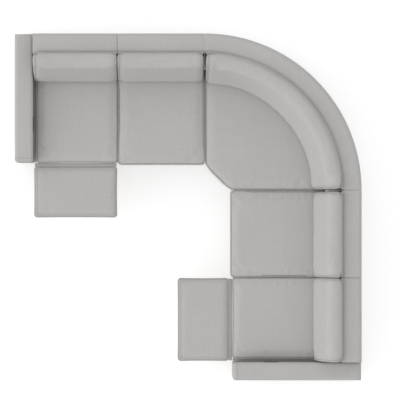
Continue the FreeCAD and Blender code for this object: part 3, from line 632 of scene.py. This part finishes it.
def tube_mesh(name: str, places: Path, radius: float, closed: bool = True) -> Mesh:
    """A round cord or roll along a line of places.

    Args:
        name: The mesh's name.
        places: The line that its middle follows.
        radius: The cord's radius.
        closed: True where the line goes back to its first place.

    Returns:
        The cord's mesh.
    """
    curve = bpy.data.curves.new(name, "CURVE")
    curve.dimensions = "3D"
    curve.bevel_depth = radius
    curve.bevel_resolution = 2
    curve.use_fill_caps = not closed
    spline = curve.splines.new("POLY")
    spline.points.add(len(places) - 1)
    for point, place in zip(spline.points, places):
        point.co = (*place, 1.0)
    spline.use_cyclic_u = closed
    holder = bpy.data.objects.new(name, curve)
    mesh = bpy.data.meshes.new_from_object(holder)
    bpy.data.objects.remove(holder)
    bpy.data.curves.remove(curve)
    mesh.name = name
    mesh.shade_smooth()
    return mesh


def joined_mesh(name: str, meshes: Iterable[Mesh]) -> Mesh:
    """Several meshes as one.

    Args:
        name: The new mesh's name.
        meshes: The meshes, which are removed.

    Returns:
        The joined mesh.
    """
    form = bmesh.new()
    for mesh in meshes:
        form.from_mesh(mesh)
        bpy.data.meshes.remove(mesh)
    return finished(name, form)


def across_diagonal(mesh: Mesh) -> Mesh:
    """Mirror a mesh of the left run to the right run, with its faces outwards.

    Args:
        mesh: The left run's mesh, which stays as it is.

    Returns:
        The right run's mesh.
    """
    copy = mesh.copy()
    copy.transform(ACROSS)
    copy.flip_normals()
    return copy


@dataclass
class FoamPress:
    """Blows a closed form up like a stuffed cover whose seams hold."""

    voxel: float
    pressure: float
    cap: float
    stretch: float = 0.02
    stiffness: float = 12
    bending: float = 0.6
    mass: float = 0.35
    quality: int = 3
    hold: float = 0.85
    frames: int = 20

    def swell(self, piece: Piece, seams: Iterable[Path], kept_in: Move) -> Piece:
        """Simulate the cover and keep the result in the mesh.

        Args:
            piece: The form before it is stuffed; it is removed.
            seams: The sewn lines, which don't move.
            kept_in: Moves a place back into the room that the piece has.

        Returns:
            The stuffed piece, under the same name.
        """
        name = piece.name
        remesh = piece.modifiers.new("even", "REMESH")
        remesh.mode = "VOXEL"
        remesh.voxel_size = self.voxel
        even = self.baked(piece)
        bpy.data.objects.remove(piece)
        cover = linked(name, even)
        before = [vertex.co.copy() for vertex in even.vertices]
        self.pin(cover, seams)
        self.add_cloth(cover)
        for step in range(1, self.frames + 1):
            bpy.context.scene.frame_set(step)
        after = self.baked(cover)
        bpy.data.objects.remove(cover)
        bpy.context.scene.frame_set(1)
        for vertex, start in zip(after.vertices, before):
            move = vertex.co - start
            if move.length > self.cap:
                move *= self.cap / move.length
            vertex.co = kept_in(start + move)
        after.shade_smooth()
        return linked(name, after)

    def pin(self, cover: Piece, seams: Iterable[Path]) -> None:
        """Hold the points of the cover that lie on a seam.

        Args:
            cover: The cover, which gets a group of held points.
            seams: The sewn lines.
        """
        tree = finder([place for seam in seams for place in seam])
        group = cover.vertex_groups.new(name="seam")
        held = [v.index for v in cover.data.vertices if tree.find(v.co)[2] < self.voxel * self.hold]
        group.add(held, 1.0, "REPLACE")

    def add_cloth(self, cover: Piece) -> None:
        """Put the cloth on the cover, with pressure and without gravity.

        Args:
            cover: The cover, whose seam group is made.
        """
        cloth = cover.modifiers.new("cloth", "CLOTH")
        cloth.settings.quality = self.quality
        cloth.settings.mass = self.mass
        cloth.settings.tension_stiffness = self.stiffness
        cloth.settings.compression_stiffness = self.stiffness
        cloth.settings.bending_stiffness = self.bending
        cloth.settings.use_pressure = True
        cloth.settings.uniform_pressure_force = self.pressure
        cloth.settings.shrink_min = -self.stretch
        cloth.settings.vertex_group_mass = "seam"
        cloth.settings.effector_weights.gravity = 0
        cloth.collision_settings.use_collision = False
        cloth.point_cache.frame_start = 1
        cloth.point_cache.frame_end = self.frames

    def baked(self, piece: Piece) -> Mesh:
        """The piece's mesh with its modifiers applied."""
        graph = bpy.context.evaluated_depsgraph_get()
        return bpy.data.meshes.new_from_object(piece.evaluated_get(graph))


# Padded pieces

@dataclass
class Padding:
    """One padded piece of the left run or the corner, and its mirror image."""

    name: str
    node: str
    body: str = "root"
    corner: bool = False
    fill: float = 0.7
    piping: float = 0.0
    press: Optional[FoamPress] = None
    finish: Finish = Finish.upholstery
    edge: float = 0.006
    proud: float = 0.0015
    loose: bool = False
    folds_with: str = ""
    fold_anchor: tuple[float, float, float] = (0.0, 0.0, 0.0)
    fold_keep: float = 0.1
    seams: list[Path] = field(default_factory=list)

    @property
    def stuffed(self) -> bool:
        """True where the cloth simulation runs on the piece."""
        return self.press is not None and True

    def on_side(self, side: Side, name: str) -> str:
        """The full name of a node, body or joint on a side."""
        return name if self.corner else side.value + "_" + name

    def box(self) -> Box:
        """The box of the CAD solid that the piece stands for."""
        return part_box(self.on_side(Side.LEFT, self.node))

    def form(self) -> Form:
        """Build the form before it is stuffed."""
        raise NotImplementedError

    def make(self) -> None:
        """Build, stuff, dress and place the piece on each side that has it."""
        piece = mesh_object(self.name, self.form())
        if self.stuffed:
            piece = self.press.swell(piece, self.seams, self.kept_in)
        mesh = piece.data
        bpy.data.objects.remove(piece)
        cords = self.trim()
        piping = joined_mesh(self.name + "_piping", cords) if cords else None
        for side in [Side.CORNER] if self.corner else [Side.LEFT, Side.RIGHT]:
            self.place(side, mesh, piping)

    def trim(self) -> list[Mesh]:
        """The piping on the piece's seams."""
        return [tube_mesh("cord", seam, self.piping) for seam in self.seams] if self.piping else []

    def kept_in(self, place: Vector) -> Vector:
        """A place moved back into the CAD solid's box, with a little room for the cloth."""
        low, high = self.box()
        return Vector([min(max(place[i], low[i] - self.proud), high[i] + self.proud) for i in range(3)])

    def place(self, side: Side, mesh: Mesh, piping: Optional[Mesh]) -> None:
        """Put the piece and its piping on one side.

        Args:
            side: The run that takes them, or the corner.
            mesh: The left run's mesh.
            piping: The left run's piping, if it has any.
        """
        mirror = side is Side.RIGHT
        name = self.on_side(side, self.name)
        body = "root" if self.body == "root" else self.on_side(side, self.body)
        piece = linked(name, across_diagonal(mesh) if mirror else mesh)
        if self.stuffed:
            smooth = piece.modifiers.new("smooth", "SUBSURF")
            smooth.levels = 1
            smooth.render_levels = 1
        self.finish.dress(piece)
        if not self.loose:
            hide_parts(self.on_side(side, self.node))
        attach(piece, body)
        if self.folds_with:
            axis, anchor = Vector((0, 1, 0)), Vector(self.fold_anchor)
            if mirror:
                axis, anchor = ACROSS @ axis, ACROSS @ anchor
            joint = self.on_side(side, self.folds_with)
            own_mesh(piece)
            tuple(axis)
            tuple(anchor)
        LOG.info("%s rides on %s, %d faces", name, body, len(piece.data.polygons))
        if piping:
            cord = linked(name + "_piping", across_diagonal(piping) if mirror else piping)
            Finish.piping_cloth.dress(cord)
            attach(cord, body)


@dataclass
class SeatPad(Padding):
    """A boxed cushion: a plan outline with walls, a crown and drawn-in sides."""

    round_radius: float = 0.025
    crown: float = 0.016
    crown_reach: float = 0.24
    draw: float = 0.003
    draw_power: int = 3
    margin: float = 0.001
    border: float = 0.0
    step: float = 0.05
    wall_step: float = 0.04
    sharp_angle: float = 160.0

    def plan(self, form: Form, room: Box) -> bmesh.types.BMFace:
        """The outline's face at the bottom of the cushion.

        Args:
            form: The mesh that takes the face.
            room: The cushion's box.

        Returns:
            The face, with its corners still sharp.
        """
        low, high = room
        corners = [(low.x, low.y), (high.x, low.y), (high.x, high.y), (low.x, high.y)]
        return form.faces.new([form.verts.new((x, y, low.z)) for x, y in corners])

    def is_corner(self, vertex: bmesh.types.BMVert) -> bool:
        """True where the outline turns sharply."""
        first, second = [(e.other_vert(vertex).co - vertex.co) for e in vertex.link_edges]
        return first.angle(second) < math.radians(self.sharp_angle)

    def form(self) -> Form:
        """Build the cushion's form and its seams.

        Returns:
            The closed form.
        """
        low, high = self.box()
        inset = Vector((self.margin, self.margin, 0))
        low, high = low + inset, high - inset - Vector((0, 0, self.crown))
        rise = Vector((0, 0, high.z - low.z))
        form = bmesh.new()
        face = self.plan(form, (low, high))
        outline = rounded_outline(form, [v for v in face.verts if self.is_corner(v)], self.round_radius)
        extrude(form, form.faces[:], rise)
        for axis, step in enumerate((self.step, self.step, self.wall_step)):
            slice_grid(form, axis, (low, high), step)
        even = resampled(outline)
        settle = self.settler((low, high), even)
        for vertex in form.verts:
            vertex.co = settle(vertex.co)
        self.seams = [[settle(place + rise) for place in even], [settle(place) for place in even]]
        if self.border:
            self.seams.append([settle(place) for place in self.inward(even, rise)])
        return form

    def inward(self, outline: Path, rise: Vector) -> Path:
        """The border's line inside the outline, on the top.

        Args:
            outline: The outline at the bottom.
            rise: The way from the bottom to the top.

        Returns:
            The line's places.
        """
        count = len(outline)
        places = []
        for i, place in enumerate(outline):
            along = outline[(i + 2) % count] - outline[i - 2]
            inwards = Vector((-along.y, along.x, 0)).normalized()
            places.append(place + rise + inwards * self.border)
        return places

    def settler(self, room: Box, outline: Path) -> Move:
        """The move that crowns the top and draws the sides in.

        Args:
            room: The form's box.
            outline: The outline's places, at the bottom.

        Returns:
            A function from a place on the plain form to its shaped place.
        """
        low, high = room
        middle, half = (low + high) / 2, (high - low) / 2
        tree = finder(outline)

        def settle(place: Vector) -> Vector:
            """Shape a place.

            Args:
                place: The place on the plain form.

            Returns:
                Its shaped place.
            """
            share = min(1.0, tree.find(Vector((place.x, place.y, low.z)))[2] / self.crown_reach)
            lift = self.crown * (1 - (1 - share) ** 2) * (place.z - low.z) / (high.z - low.z)
            s = (place.x - middle.x) / half.x
            t = (place.y - middle.y) / half.y
            pull = Vector((-s * abs(s) ** self.draw_power * (1 - t * t),
                           -t * abs(t) ** self.draw_power * (1 - s * s), 0))
            return place + pull * self.draw + Vector((0, 0, lift))

        return settle


@dataclass
class CornerSeatPad(SeatPad):
    """The corner's boxed cushion: a quarter round with a slanted front."""

    reach: float = 1.045
    front_leg: float = 0.198
    circle_steps: int = 144

    def plan(self, form: Form, room: Box) -> bmesh.types.BMFace:
        """The quarter-round outline's face at the bottom of the cushion.

        Args:
            form: The mesh that takes the face.
            room: The cushion's box.

        Returns:
            The face, with its corners still sharp.
        """
        low = room[0]
        place = Matrix.Translation((CORNER_CENTRE.x, CORNER_CENTRE.y, low.z))
        bmesh.ops.create_circle(form, cap_ends=True, segments=self.circle_steps,
                                radius=self.reach - self.margin, matrix=place)
        leg = CORNER_CENTRE + Vector((self.front_leg + self.margin, self.margin, 0))
        cuts = [(low, Vector((-1, 0, 0))), (low, Vector((0, -1, 0))), (leg, Vector((-1, -1, 0)).normalized())]
        for point, normal in cuts:
            bmesh.ops.bisect_plane(form, geom=everything(form), plane_co=point, plane_no=normal,
                                   clear_outer=True, dist=CUT_MERGE)
        form.faces.ensure_lookup_table()
        return form.faces[0]


@dataclass
class Bolster(Padding):
    """A padded section drawn along the run, straight or round the corner."""

    round_radius: float = 0.03
    lean: float = 0.0
    top_share: float = 1.0
    bulge: float = 0.0
    bulge_power: int = 8
    end_pull: float = 0.0
    end_reach: float = 0.014
    ring_in: float = 0.011
    gusset: float = 0.0
    gusset_drop: float = 0.088
    gusset_step: float = 0.03
    gusset_behind: float = 0.001
    ripple: float = 0.0
    step: float = 0.045
    margin: float = 0.003
    crease_angle: float = 50.0
    round_low: bool = True
    outer: float = 0.0
    inner: float = 0.0
    end_gap: float = 0.0
    end_ring: bool = True
    reach: float = 0.0

    def box(self) -> Box:
        """The CAD solid's box, grown towards the neighbour round the corner.

        Returns:
            The box.
        """
        low, high = super().box()
        if self.corner:
            return low - Vector((self.reach, self.reach, 0)), high
        return low, high + Vector((self.reach, 0, 0))

    def arc(self) -> float:
        """The length of the curved piece's middle line."""
        return math.pi / 2 * (self.inner + self.outer) / 2

    def section_box(self) -> Box:
        """The box of the piece along x, for a curved one with its arc laid straight.

        Returns:
            The box.
        """
        low, high = self.box()
        if not self.corner:
            return low, high
        start = Vector((0.0, CORNER_CENTRE.y + self.inner, low.z))
        return start, Vector((self.arc(), CORNER_CENTRE.y + self.outer, high.z))

    def form(self) -> Form:
        """Build the bolster's form and its end seams.

        Returns:
            The closed form.
        """
        low, high = self.section_box()
        gap = self.end_gap + self.margin
        low, high = low + Vector((gap, self.margin, 0)), high - Vector((gap, 0, 0))
        depth = high.y - low.y
        places = [(low.y, low.z), (high.y, low.z), (high.y - self.lean, high.z),
                  (high.y - self.lean - depth * self.top_share, high.z)]
        form = bmesh.new()
        face = form.faces.new([form.verts.new((low.x, y, z)) for y, z in places])
        corners = [v for v in face.verts if self.round_low or v.co.z > (low.z + high.z) / 2]
        section = resampled(rounded_outline(form, corners, self.round_radius))
        run = Vector((high.x - low.x, 0, 0))
        extrude(form, form.faces[:], run)
        if not self.stuffed:
            creased = math.radians(self.crease_angle)
            rounded(form, [e for e in form.edges if e.calc_face_angle(0) > creased], self.edge)
        for axis in range(3):
            slice_grid(form, axis, (low, high), self.step)
        shape = self.shaper((low, high))
        for vertex in form.verts:
            vertex.co = shape(vertex.co)
        if self.end_ring:
            inwards = Vector((self.ring_in, 0, 0))
            self.seams = [[shape(place + inwards) for place in section],
                          [shape(place + run - inwards) for place in section]]
        return form

    def trim(self) -> list[Mesh]:
        """The piping, and the gusset that joins the cushion to the shell behind it.

        Returns:
            The cords' meshes.
        """
        cords = super().trim()
        if self.gusset:
            low, high = self.section_box()
            start, stop = [Vector((x, high.y + self.gusset_behind, high.z - self.gusset_drop))
                           for x in (low.x + self.end_gap, high.x - self.end_gap)]
            count = max(2, round((stop - start).length / self.gusset_step))
            places = [self.bent(start.lerp(stop, i / count)) for i in range(count + 1)]
            cords.append(tube_mesh("gusset", places, self.gusset, closed=False))
        return cords

    def kept_in(self, place: Vector) -> Vector:
        """A place moved back into the room that the straight or curved piece has.

        Args:
            place: The place to move.

        Returns:
            The place in the room.
        """
        if not self.corner:
            return super().kept_in(place)
        low, high = self.box()
        spoke = Vector((place.x - CORNER_CENTRE.x, place.y - CORNER_CENTRE.y, 0))
        reach = min(max(spoke.length, self.inner - self.proud), self.outer + self.proud)
        flat = CORNER_CENTRE + spoke.normalized() * reach
        return Vector((max(flat.x, low.x), max(flat.y, low.y), min(max(place.z, low.z), high.z + self.proud)))

    def shaper(self, room: Box) -> Move:
        """The move that bulges the front, draws the ends in and bends the run.

        Args:
            room: The straight form's box.

        Returns:
            A function from a place on the plain form to its shaped place.
        """
        low, high = room
        middle, half = (low + high) / 2, (high - low) / 2

        def shape(place: Vector) -> Vector:
            """Shape a place.

            Args:
                place: The place on the plain form.

            Returns:
                Its shaped place.
            """
            near_end = min(place.x - low.x, high.x - place.x) / self.end_reach
            shrink = 1 - self.end_pull * max(0.0, 1 - near_end) ** 2
            t = (place.z - middle.z) / half.z
            s = (place.x - middle.x) / half.x
            front = max(0.0, (middle.y - place.y) / half.y)
            swell = self.bulge * front * max(0.0, 1 - t * t) * max(0.0, 1 - s ** self.bulge_power)
            shaped = Vector((
                place.x,
                middle.y + (place.y - middle.y) * shrink - swell,
                middle.z + (place.z - middle.z) * shrink,
            ))
            if self.ripple:
                wave = noise.noise(Vector([place[i] * RIPPLE_SCALE[i] for i in range(3)]))
                shaped += (shaped - Vector((place.x, middle.y, middle.z))).normalized() * wave * self.ripple
            return self.bent(shaped)

        return shape

    def bent(self, place: Vector) -> Vector:
        """A straight place carried round the corner, if the piece is curved.

        Args:
            place: The place on the straight piece.

        Returns:
            The place on the piece.
        """
        if not self.corner:
            return place
        turn = place.x / self.arc() * math.pi / 2
        radius = place.y - CORNER_CENTRE.y
        return CORNER_CENTRE + Vector((radius * math.sin(turn), radius * math.cos(turn), place.z))


@dataclass
class Panel(Padding):
    """A board wrapped in cloth, flat but for its rounded edges."""

    step: float = 0.08
    ripple: float = 0.0008
    ripple_scale: float = 4.0
    slanted: bool = False
    board: float = 0.025
    pierced_by: str = ""
    room: Optional[Box] = None

    def box(self) -> Box:
        """The CAD solid's box, or the room that was given."""
        return self.room or super().box()

    def form(self) -> Form:
        """Build the panel's form.

        Returns:
            The closed form.
        """
        low, high = self.box()
        form = bmesh.new()
        if self.slanted:
            self.slanted_block(form, (low, high))
        else:
            block(form, (low, high))
        rounded(form, form.edges[:], self.edge)
        if self.pierced_by:
            self.pierce(form, left_part(self.pierced_by))
        for axis in (0 if high.x - low.x > high.y - low.y else 1, 2):
            slice_grid(form, axis, (low, high), self.step)
        ripple(form, 1, self.ripple_scale, self.ripple)
        return form

    def slanted_block(self, form: Form, room: Box) -> None:
        """A board across the corner, from one side of its box to the other.

        Args:
            form: The mesh that takes the board.
            room: The room that it spans.
        """
        low, high = room
        thick = self.board * math.sqrt(2)
        corners = [(low.x, high.y - thick), (high.x - thick, low.y), (high.x, low.y), (low.x, high.y)]
        face = form.faces.new([form.verts.new((x, y, low.z)) for x, y in corners])
        extrude(form, [face], Vector((0, 0, high.z - low.z)))

    def pierce(self, form: Form, hole: Box) -> None:
        """Open the panel through its thickness.

        Args:
            form: The panel's mesh.
            hole: The hole's box.
        """
        inside = [f for f in window(form, hole, (0, 2)) if abs(f.normal.y) > FACING]
        bmesh.ops.delete(form, geom=inside, context="FACES")
        bmesh.ops.bridge_loops(form, edges=[e for e in form.edges if e.is_boundary])


@dataclass
class ArmCover(Padding):
    """The upholstered arm, with the recess that the control sits in."""

    round_radius: float = 0.024
    step: float = 0.06
    ripple: float = 0.0012
    ripple_scale: float = 3.3
    flat_reach: float = 0.004
    cup_depth: float = 0.0165
    cup_inset: tuple[float, float] = (0.006, 0.008)
    welt_back: float = 0.034
    near: float = 1e-4
    upright: float = 0.1

    def form(self) -> Form:
        """Build the arm's form, with its recess and its front seam.

        Returns:
            The closed form.
        """
        low, high = self.box()
        form = bmesh.new()
        block(form, (low, high))
        upper = [e for e in form.edges if all(v.co.z > high.z - self.near for v in e.verts)]
        front = [e for e in form.edges if all(v.co.y < low.y + self.near for v in e.verts) and e not in upper
                 and abs(e.verts[0].co.z - e.verts[1].co.z) > self.upright]
        rounded(form, upper + front, self.round_radius, ROUND_SEGMENTS)
        self.recess(form)
        for axis in (1, 2):
            slice_grid(form, axis, (low, high), self.step)
        ripple(form, 0, self.ripple_scale, self.ripple, high.x - self.flat_reach)
        self.seams = [self.front_ring((low, high))]
        return form

    def recess(self, form: Form) -> None:
        """Sink the control's cup into the arm's inner face.

        Args:
            form: The arm's mesh.
        """
        low, high = left_part("switch_plates")
        inset = Vector((0, *self.cup_inset))
        mouth = [f for f in window(form, (low + inset, high - inset), (1, 2)) if f.normal.x > FACING]
        extrude(form, mouth, Vector((-self.cup_depth, 0, 0)), keep=False)

    def front_ring(self, room: Box) -> Path:
        """The welt that frames the arm's front, a little behind its rounded edge.

        Args:
            room: The arm's box.

        Returns:
            The welt's places.
        """
        low, high = room
        r = self.round_radius
        turns = [math.pi / 2 * i / ROUND_SEGMENTS for i in range(ROUND_SEGMENTS + 1)]
        corners = [(low.x, low.z)]
        corners += [(low.x + r - r * math.cos(turn), high.z - r + r * math.sin(turn)) for turn in turns]
        corners += [(high.x - r + r * math.sin(turn), high.z - r + r * math.cos(turn)) for turn in turns]
        corners.append((high.x, low.z))
        return resampled([Vector((x, low.y + self.welt_back, z)) for x, z in corners])


# Sub-assemblies

@dataclass
class CushionSet:
    """Every loose and fixed cushion, by the way that it is stuffed."""

    seat_press: FoamPress = field(
        default_factory=lambda: FoamPress(voxel=0.018, pressure=3.0, cap=0.010))
    back_press: FoamPress = field(
        default_factory=lambda: FoamPress(voxel=0.0155, pressure=3.5, cap=0.010))
    pad_press: FoamPress = field(
        default_factory=lambda: FoamPress(voxel=0.0135, pressure=2.5, cap=0.006))
    welt: float = 0.0026

    def seats(self) -> list[Padding]:
        """The seat cushions of both runs and the corner.

        Returns:
            The cushions.
        """
        shared = {"press": self.seat_press, "piping": self.welt, "fill": 0.75}
        return [
            SeatPad("end_seat", "end_seat_cushion", **shared),
            SeatPad("middle_seat", "middle_seat_cushion", **shared),
            CornerSeatPad("corner_seat", "corner_seat_cushion", corner=True, crown_reach=0.3, **shared),
        ]

    def backs(self) -> list[Padding]:
        """The wedge back cushions of both runs and the corner.

        Returns:
            The cushions.
        """
        wedge = {"press": self.back_press, "piping": self.welt, "fill": 0.7, "lean": 0.005,
                 "top_share": 0.41, "bulge": 0.006, "end_pull": 0.06, "gusset": 0.013, "margin": 0.001}
        return [
            Bolster("end_back", "back_cushion", "back", **wedge),
            Bolster("middle_back", "middle_back_cushion", reach=BACK_REACH, **wedge),
            Bolster("corner_back", "corner_back_cushion", corner=True, inner=0.822, outer=1.0596,
                    end_gap=0.016 - BACK_REACH, reach=BACK_REACH, **wedge),
        ]

    def footrests(self) -> list[Padding]:
        """The pads on the footrests."""
        return [SeatPad("footrest_top", "footrest_pad", "footrest", crown=0.006, crown_reach=0.12, draw=0.003,
                        border=0.022, press=self.pad_press, piping=0.0022, fill=0.8, margin=0.003)]

    def make(self) -> None:
        """Build every cushion."""
        for cushion in self.seats() + self.backs() + self.footrests():
            cushion.make()


@dataclass
class FixedUpholstery:
    """The padded shells, arms and panels that don't come off."""

    shell_round: float = 0.036
    welt: float = 0.0026
    corner_wrap: float = 0.0205
    seam_drop: float = 0.027
    seam_depth: float = 0.024
    seam_play: float = 0.0006
    seam_setback: float = 0.022
    seam_rear: float = 0.030
    flange_setback: float = 0.004
    flange_drop: float = 0.006
    flange_thickness: float = 0.006
    flange_gap: float = 0.001
    tongue_drop: float = 0.013
    tongue_thickness: float = 0.016
    tongue_lap: float = 0.006
    tongue_gap: float = 0.0008
    tongue_inset: float = 0.006
    filler_depth: float = 0.55
    filler_drop: float = 0.110
    filler_rear: float = 0.010

    def shells(self) -> list[Padding]:
        """The padded backs behind the cushions.

        Returns:
            The pieces.
        """
        shared = {"round_radius": self.shell_round, "round_low": False, "ripple": 0.0012, "margin": -0.002,
                  "edge": 0.004, "step": 0.06, "end_ring": False, "fill": 0.9}
        return [
            Bolster("end_shell", "back_shell", "back", **shared),
            Bolster("middle_shell_cover", "middle_shell", **shared),
            Bolster("corner_shell_cover", "corner_shell", corner=True, inner=1.060, outer=1.215,
                    end_gap=0.003, **shared),
        ]

    def panels(self) -> list[Padding]:
        """The wrapped boards below the seats and behind the end units.

        Returns:
            The pieces.
        """
        low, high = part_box("corner_front_panel")
        reach = Vector((self.corner_wrap, self.corner_wrap, 0))
        return [
            Panel("middle_front", "middle_front_panel", fill=0.9),
            Panel("corner_front", "corner_front_panel", corner=True, slanted=True, ripple=0.0, fill=0.9,
                  room=(low - reach, high + reach)),
            Panel("end_rear", "end_rear_panel", fill=0.9, pierced_by="power_inlets"),
            Panel("end_deck", "end_seat_deck", finish=Finish.deck_cloth, fill=0.9),
        ]

    def loose_cloth(self) -> list[Padding]:
        """The cloth that closes the slots between the seats and behind the footrest's pad.

        Returns:
            The pieces.
        """
        deck_low, deck_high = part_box("left_end_seat_deck")
        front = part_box("left_end_seat_cushion")[0].y + self.flange_setback
        gathers = {"folds_with": "footrest_drive", "fold_anchor": (0.0, deck_high.y, 0.0),
                   "fold_keep": (deck_high.y - deck_low.y) / (deck_high.y - front)}
        tongue_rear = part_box("left_footrest_pad")[1].y - self.tongue_lap
        folds = {"body": "footrest", "folds_with": "footrest_drive", "fold_anchor": (0.0, tongue_rear, 0.0)}
        arm_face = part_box("left_arm_cover")[1].x
        unit_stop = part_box("left_middle_seat_cushion")[0].x
        strips = [
            ("outer_flange", 0.002, self.flange(arm_face, deck_low.x), gathers),
            ("inner_flange", 0.002, self.flange(deck_high.x, unit_stop), gathers),
            ("end_seam", 0.0012, self.seam("left_end_seat_cushion", "left_middle_seat_cushion"), {}),
            ("corner_seam", 0.0012, self.seam("left_middle_seat_cushion", "corner_seat_cushion"), {}),
            ("footrest_tongue", 0.0055, self.tongue(tongue_rear), folds),
            ("side_filler", 0.004, self.filler(), {}),
        ]
        return [Panel(name, "", room=room, loose=True, edge=edge, **folding)
                for name, edge, room, folding in strips]

    def flange(self, start: float, stop: float) -> Box:
        """The room of a cloth flange beside the end seat's deck.

        Args:
            start: The face on its left.
            stop: The face on its right.

        Returns:
            The room's box.
        """
        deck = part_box("left_end_seat_deck")[1]
        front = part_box("left_end_seat_cushion")[0].y + self.flange_setback
        top = deck.z - self.flange_drop
        return (Vector((start + self.flange_gap, front, top - self.flange_thickness)),
                Vector((stop - self.flange_gap, deck.y, top)))

    def seam(self, first: str, second: str) -> Box:
        """The room of the cloth that two neighbouring seats press together.

        Args:
            first: The CAD solid of the seat on the left.
            second: The CAD solid of the seat on the right.

        Returns:
            The room's box.
        """
        low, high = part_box(first)
        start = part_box(second)[0].x
        top = high.z - self.seam_drop
        return (Vector((high.x + self.seam_play, low.y + self.seam_setback, top - self.seam_depth)),
                Vector((start - self.seam_play, high.y - self.seam_rear, top)))

    def tongue(self, rear: float) -> Box:
        """The room of the cloth between the footrest's pad and the seat.

        Args:
            rear: Where it leaves the pad.

        Returns:
            The room's box.
        """
        low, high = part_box("left_footrest_pad")
        seat_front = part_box("left_end_seat_cushion")[0].y
        top = high.z - self.tongue_drop
        return (Vector((low.x + self.tongue_inset, rear, top - self.tongue_thickness)),
                Vector((high.x - self.tongue_inset, seat_front - self.tongue_gap, top)))

    def filler(self) -> Box:
        """The room of the cloth block that closes the slot between middle and corner back cushions.

        Returns:
            The room's box.
        """
        low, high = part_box("left_middle_back_cushion")
        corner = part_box("corner_back_cushion")[0]
        inset = BACK_REACH + self.flange_gap
        front = high.y - (high.y - low.y) * self.filler_depth
        return (Vector((high.x + inset, front, low.z)),
                Vector((corner.x - inset, high.y - self.filler_rear, high.z - self.filler_drop)))

    def make(self) -> None:
        """Build the arms, the shells and the panels."""
        ArmCover("arm_padding", "arm_cover", piping=self.welt, fill=0.9).make()
        for piece in self.shells() + self.panels() + self.loose_cloth():
            piece.make()


def dress_frame() -> None:
    """Give every CAD node that still shows the finish of its slot."""
    slots = {part["node"]: part["material_slot"] for part in frame["record"]["subparts"]}
    for name, node in frame["nodes"].items():
        Finish[slots[name]].dress(node)


# Stage

@dataclass
class Studio:
    """The floor, the light and the camera above the sofa."""

    sky: float = 0.89
    key: float = 1.08
    key_angle: float = 60.0
    key_side: tuple[float, float, float] = (-1.0, -0.1, 0.42)
    floor_reach: float = 30.0
    floor_tone: float = 0.55
    floor_lift: float = 0.60

    def seen(self, sheet: NodeSheet) -> Socket:
        """One where the camera, a reflection or a refraction looks, else nought.

        Args:
            sheet: The node tree that asks.

        Returns:
            The value's socket.
        """
        path = sheet.add("ShaderNodeLightPath").outputs
        direct = sheet.maths("MAXIMUM", path["Is Camera Ray"], path["Is Glossy Ray"])
        return sheet.maths("MAXIMUM", direct, path["Is Transmission Ray"])

    def floor(self) -> None:
        """A wide pale floor that the camera sees as near white."""
        form = bmesh.new()
        bmesh.ops.create_grid(form, x_segments=1, y_segments=1, size=self.floor_reach)
        floor = mesh_object("floor", form)
        sheet, shader, material = new_material("studio_floor")
        lift = sheet.maths("MULTIPLY", self.seen(sheet), self.floor_lift)
        sheet.fill(shader, Base_Color=(self.floor_tone,) * 3, Roughness=1.0, Specular_IOR_Level=0.0,
                   Emission_Color=(1.0, 1.0, 1.0), Emission_Strength=lift)
        floor.data.materials.append(material)

    def light(self) -> None:
        """A broad white sky and one weak soft key from the left."""
        world = bpy.data.worlds.new("sky")
        bpy.context.scene.world = world
        world.use_nodes = True
        sheet = NodeSheet(world.node_tree)
        level = sheet.maths("ADD", sheet.maths("MULTIPLY", self.seen(sheet), 1.0 - self.sky), self.sky)
        sheet.fill(world.node_tree.nodes["Background"], Color=(1.0, 1.0, 1.0), Strength=level)
        lamp = bpy.data.lights.new("key", "SUN")
        lamp.energy = self.key
        lamp.angle = math.radians(self.key_angle)
        key = linked("key", lamp)
        key.rotation_euler = Vector(self.key_side).to_track_quat("Z", "Y").to_euler()

    def camera(self) -> None:
        """A very long lens straight above, with +Y up in the picture."""
        data = bpy.data.cameras.new("view")
        data.lens = LENS
        data.sensor_width = SENSOR
        width = METRES_PER_PIXEL * PHOTO_PIXELS
        height = VIEW_HEIGHT + width * LENS / SENSOR
        data.clip_end = height * 3
        camera = linked("view", data)
        camera.location = VIEW_CENTRE + Vector((0, 0, height))
        bpy.context.scene.camera = camera

    def make(self) -> None:
        """Set up the floor, the light, the camera and the view settings."""
        self.floor()
        self.light()
        self.camera()
        bpy.context.scene.view_settings.view_transform = "Standard"


def main() -> None:
    """Build the sofa's looks in order."""
    logging.basicConfig(level=logging.INFO, format="%(message)s")
    Studio().make()
    dress_frame()
    FixedUpholstery().make()
    CushionSet().make()


if __name__ == "__main__":
    main()
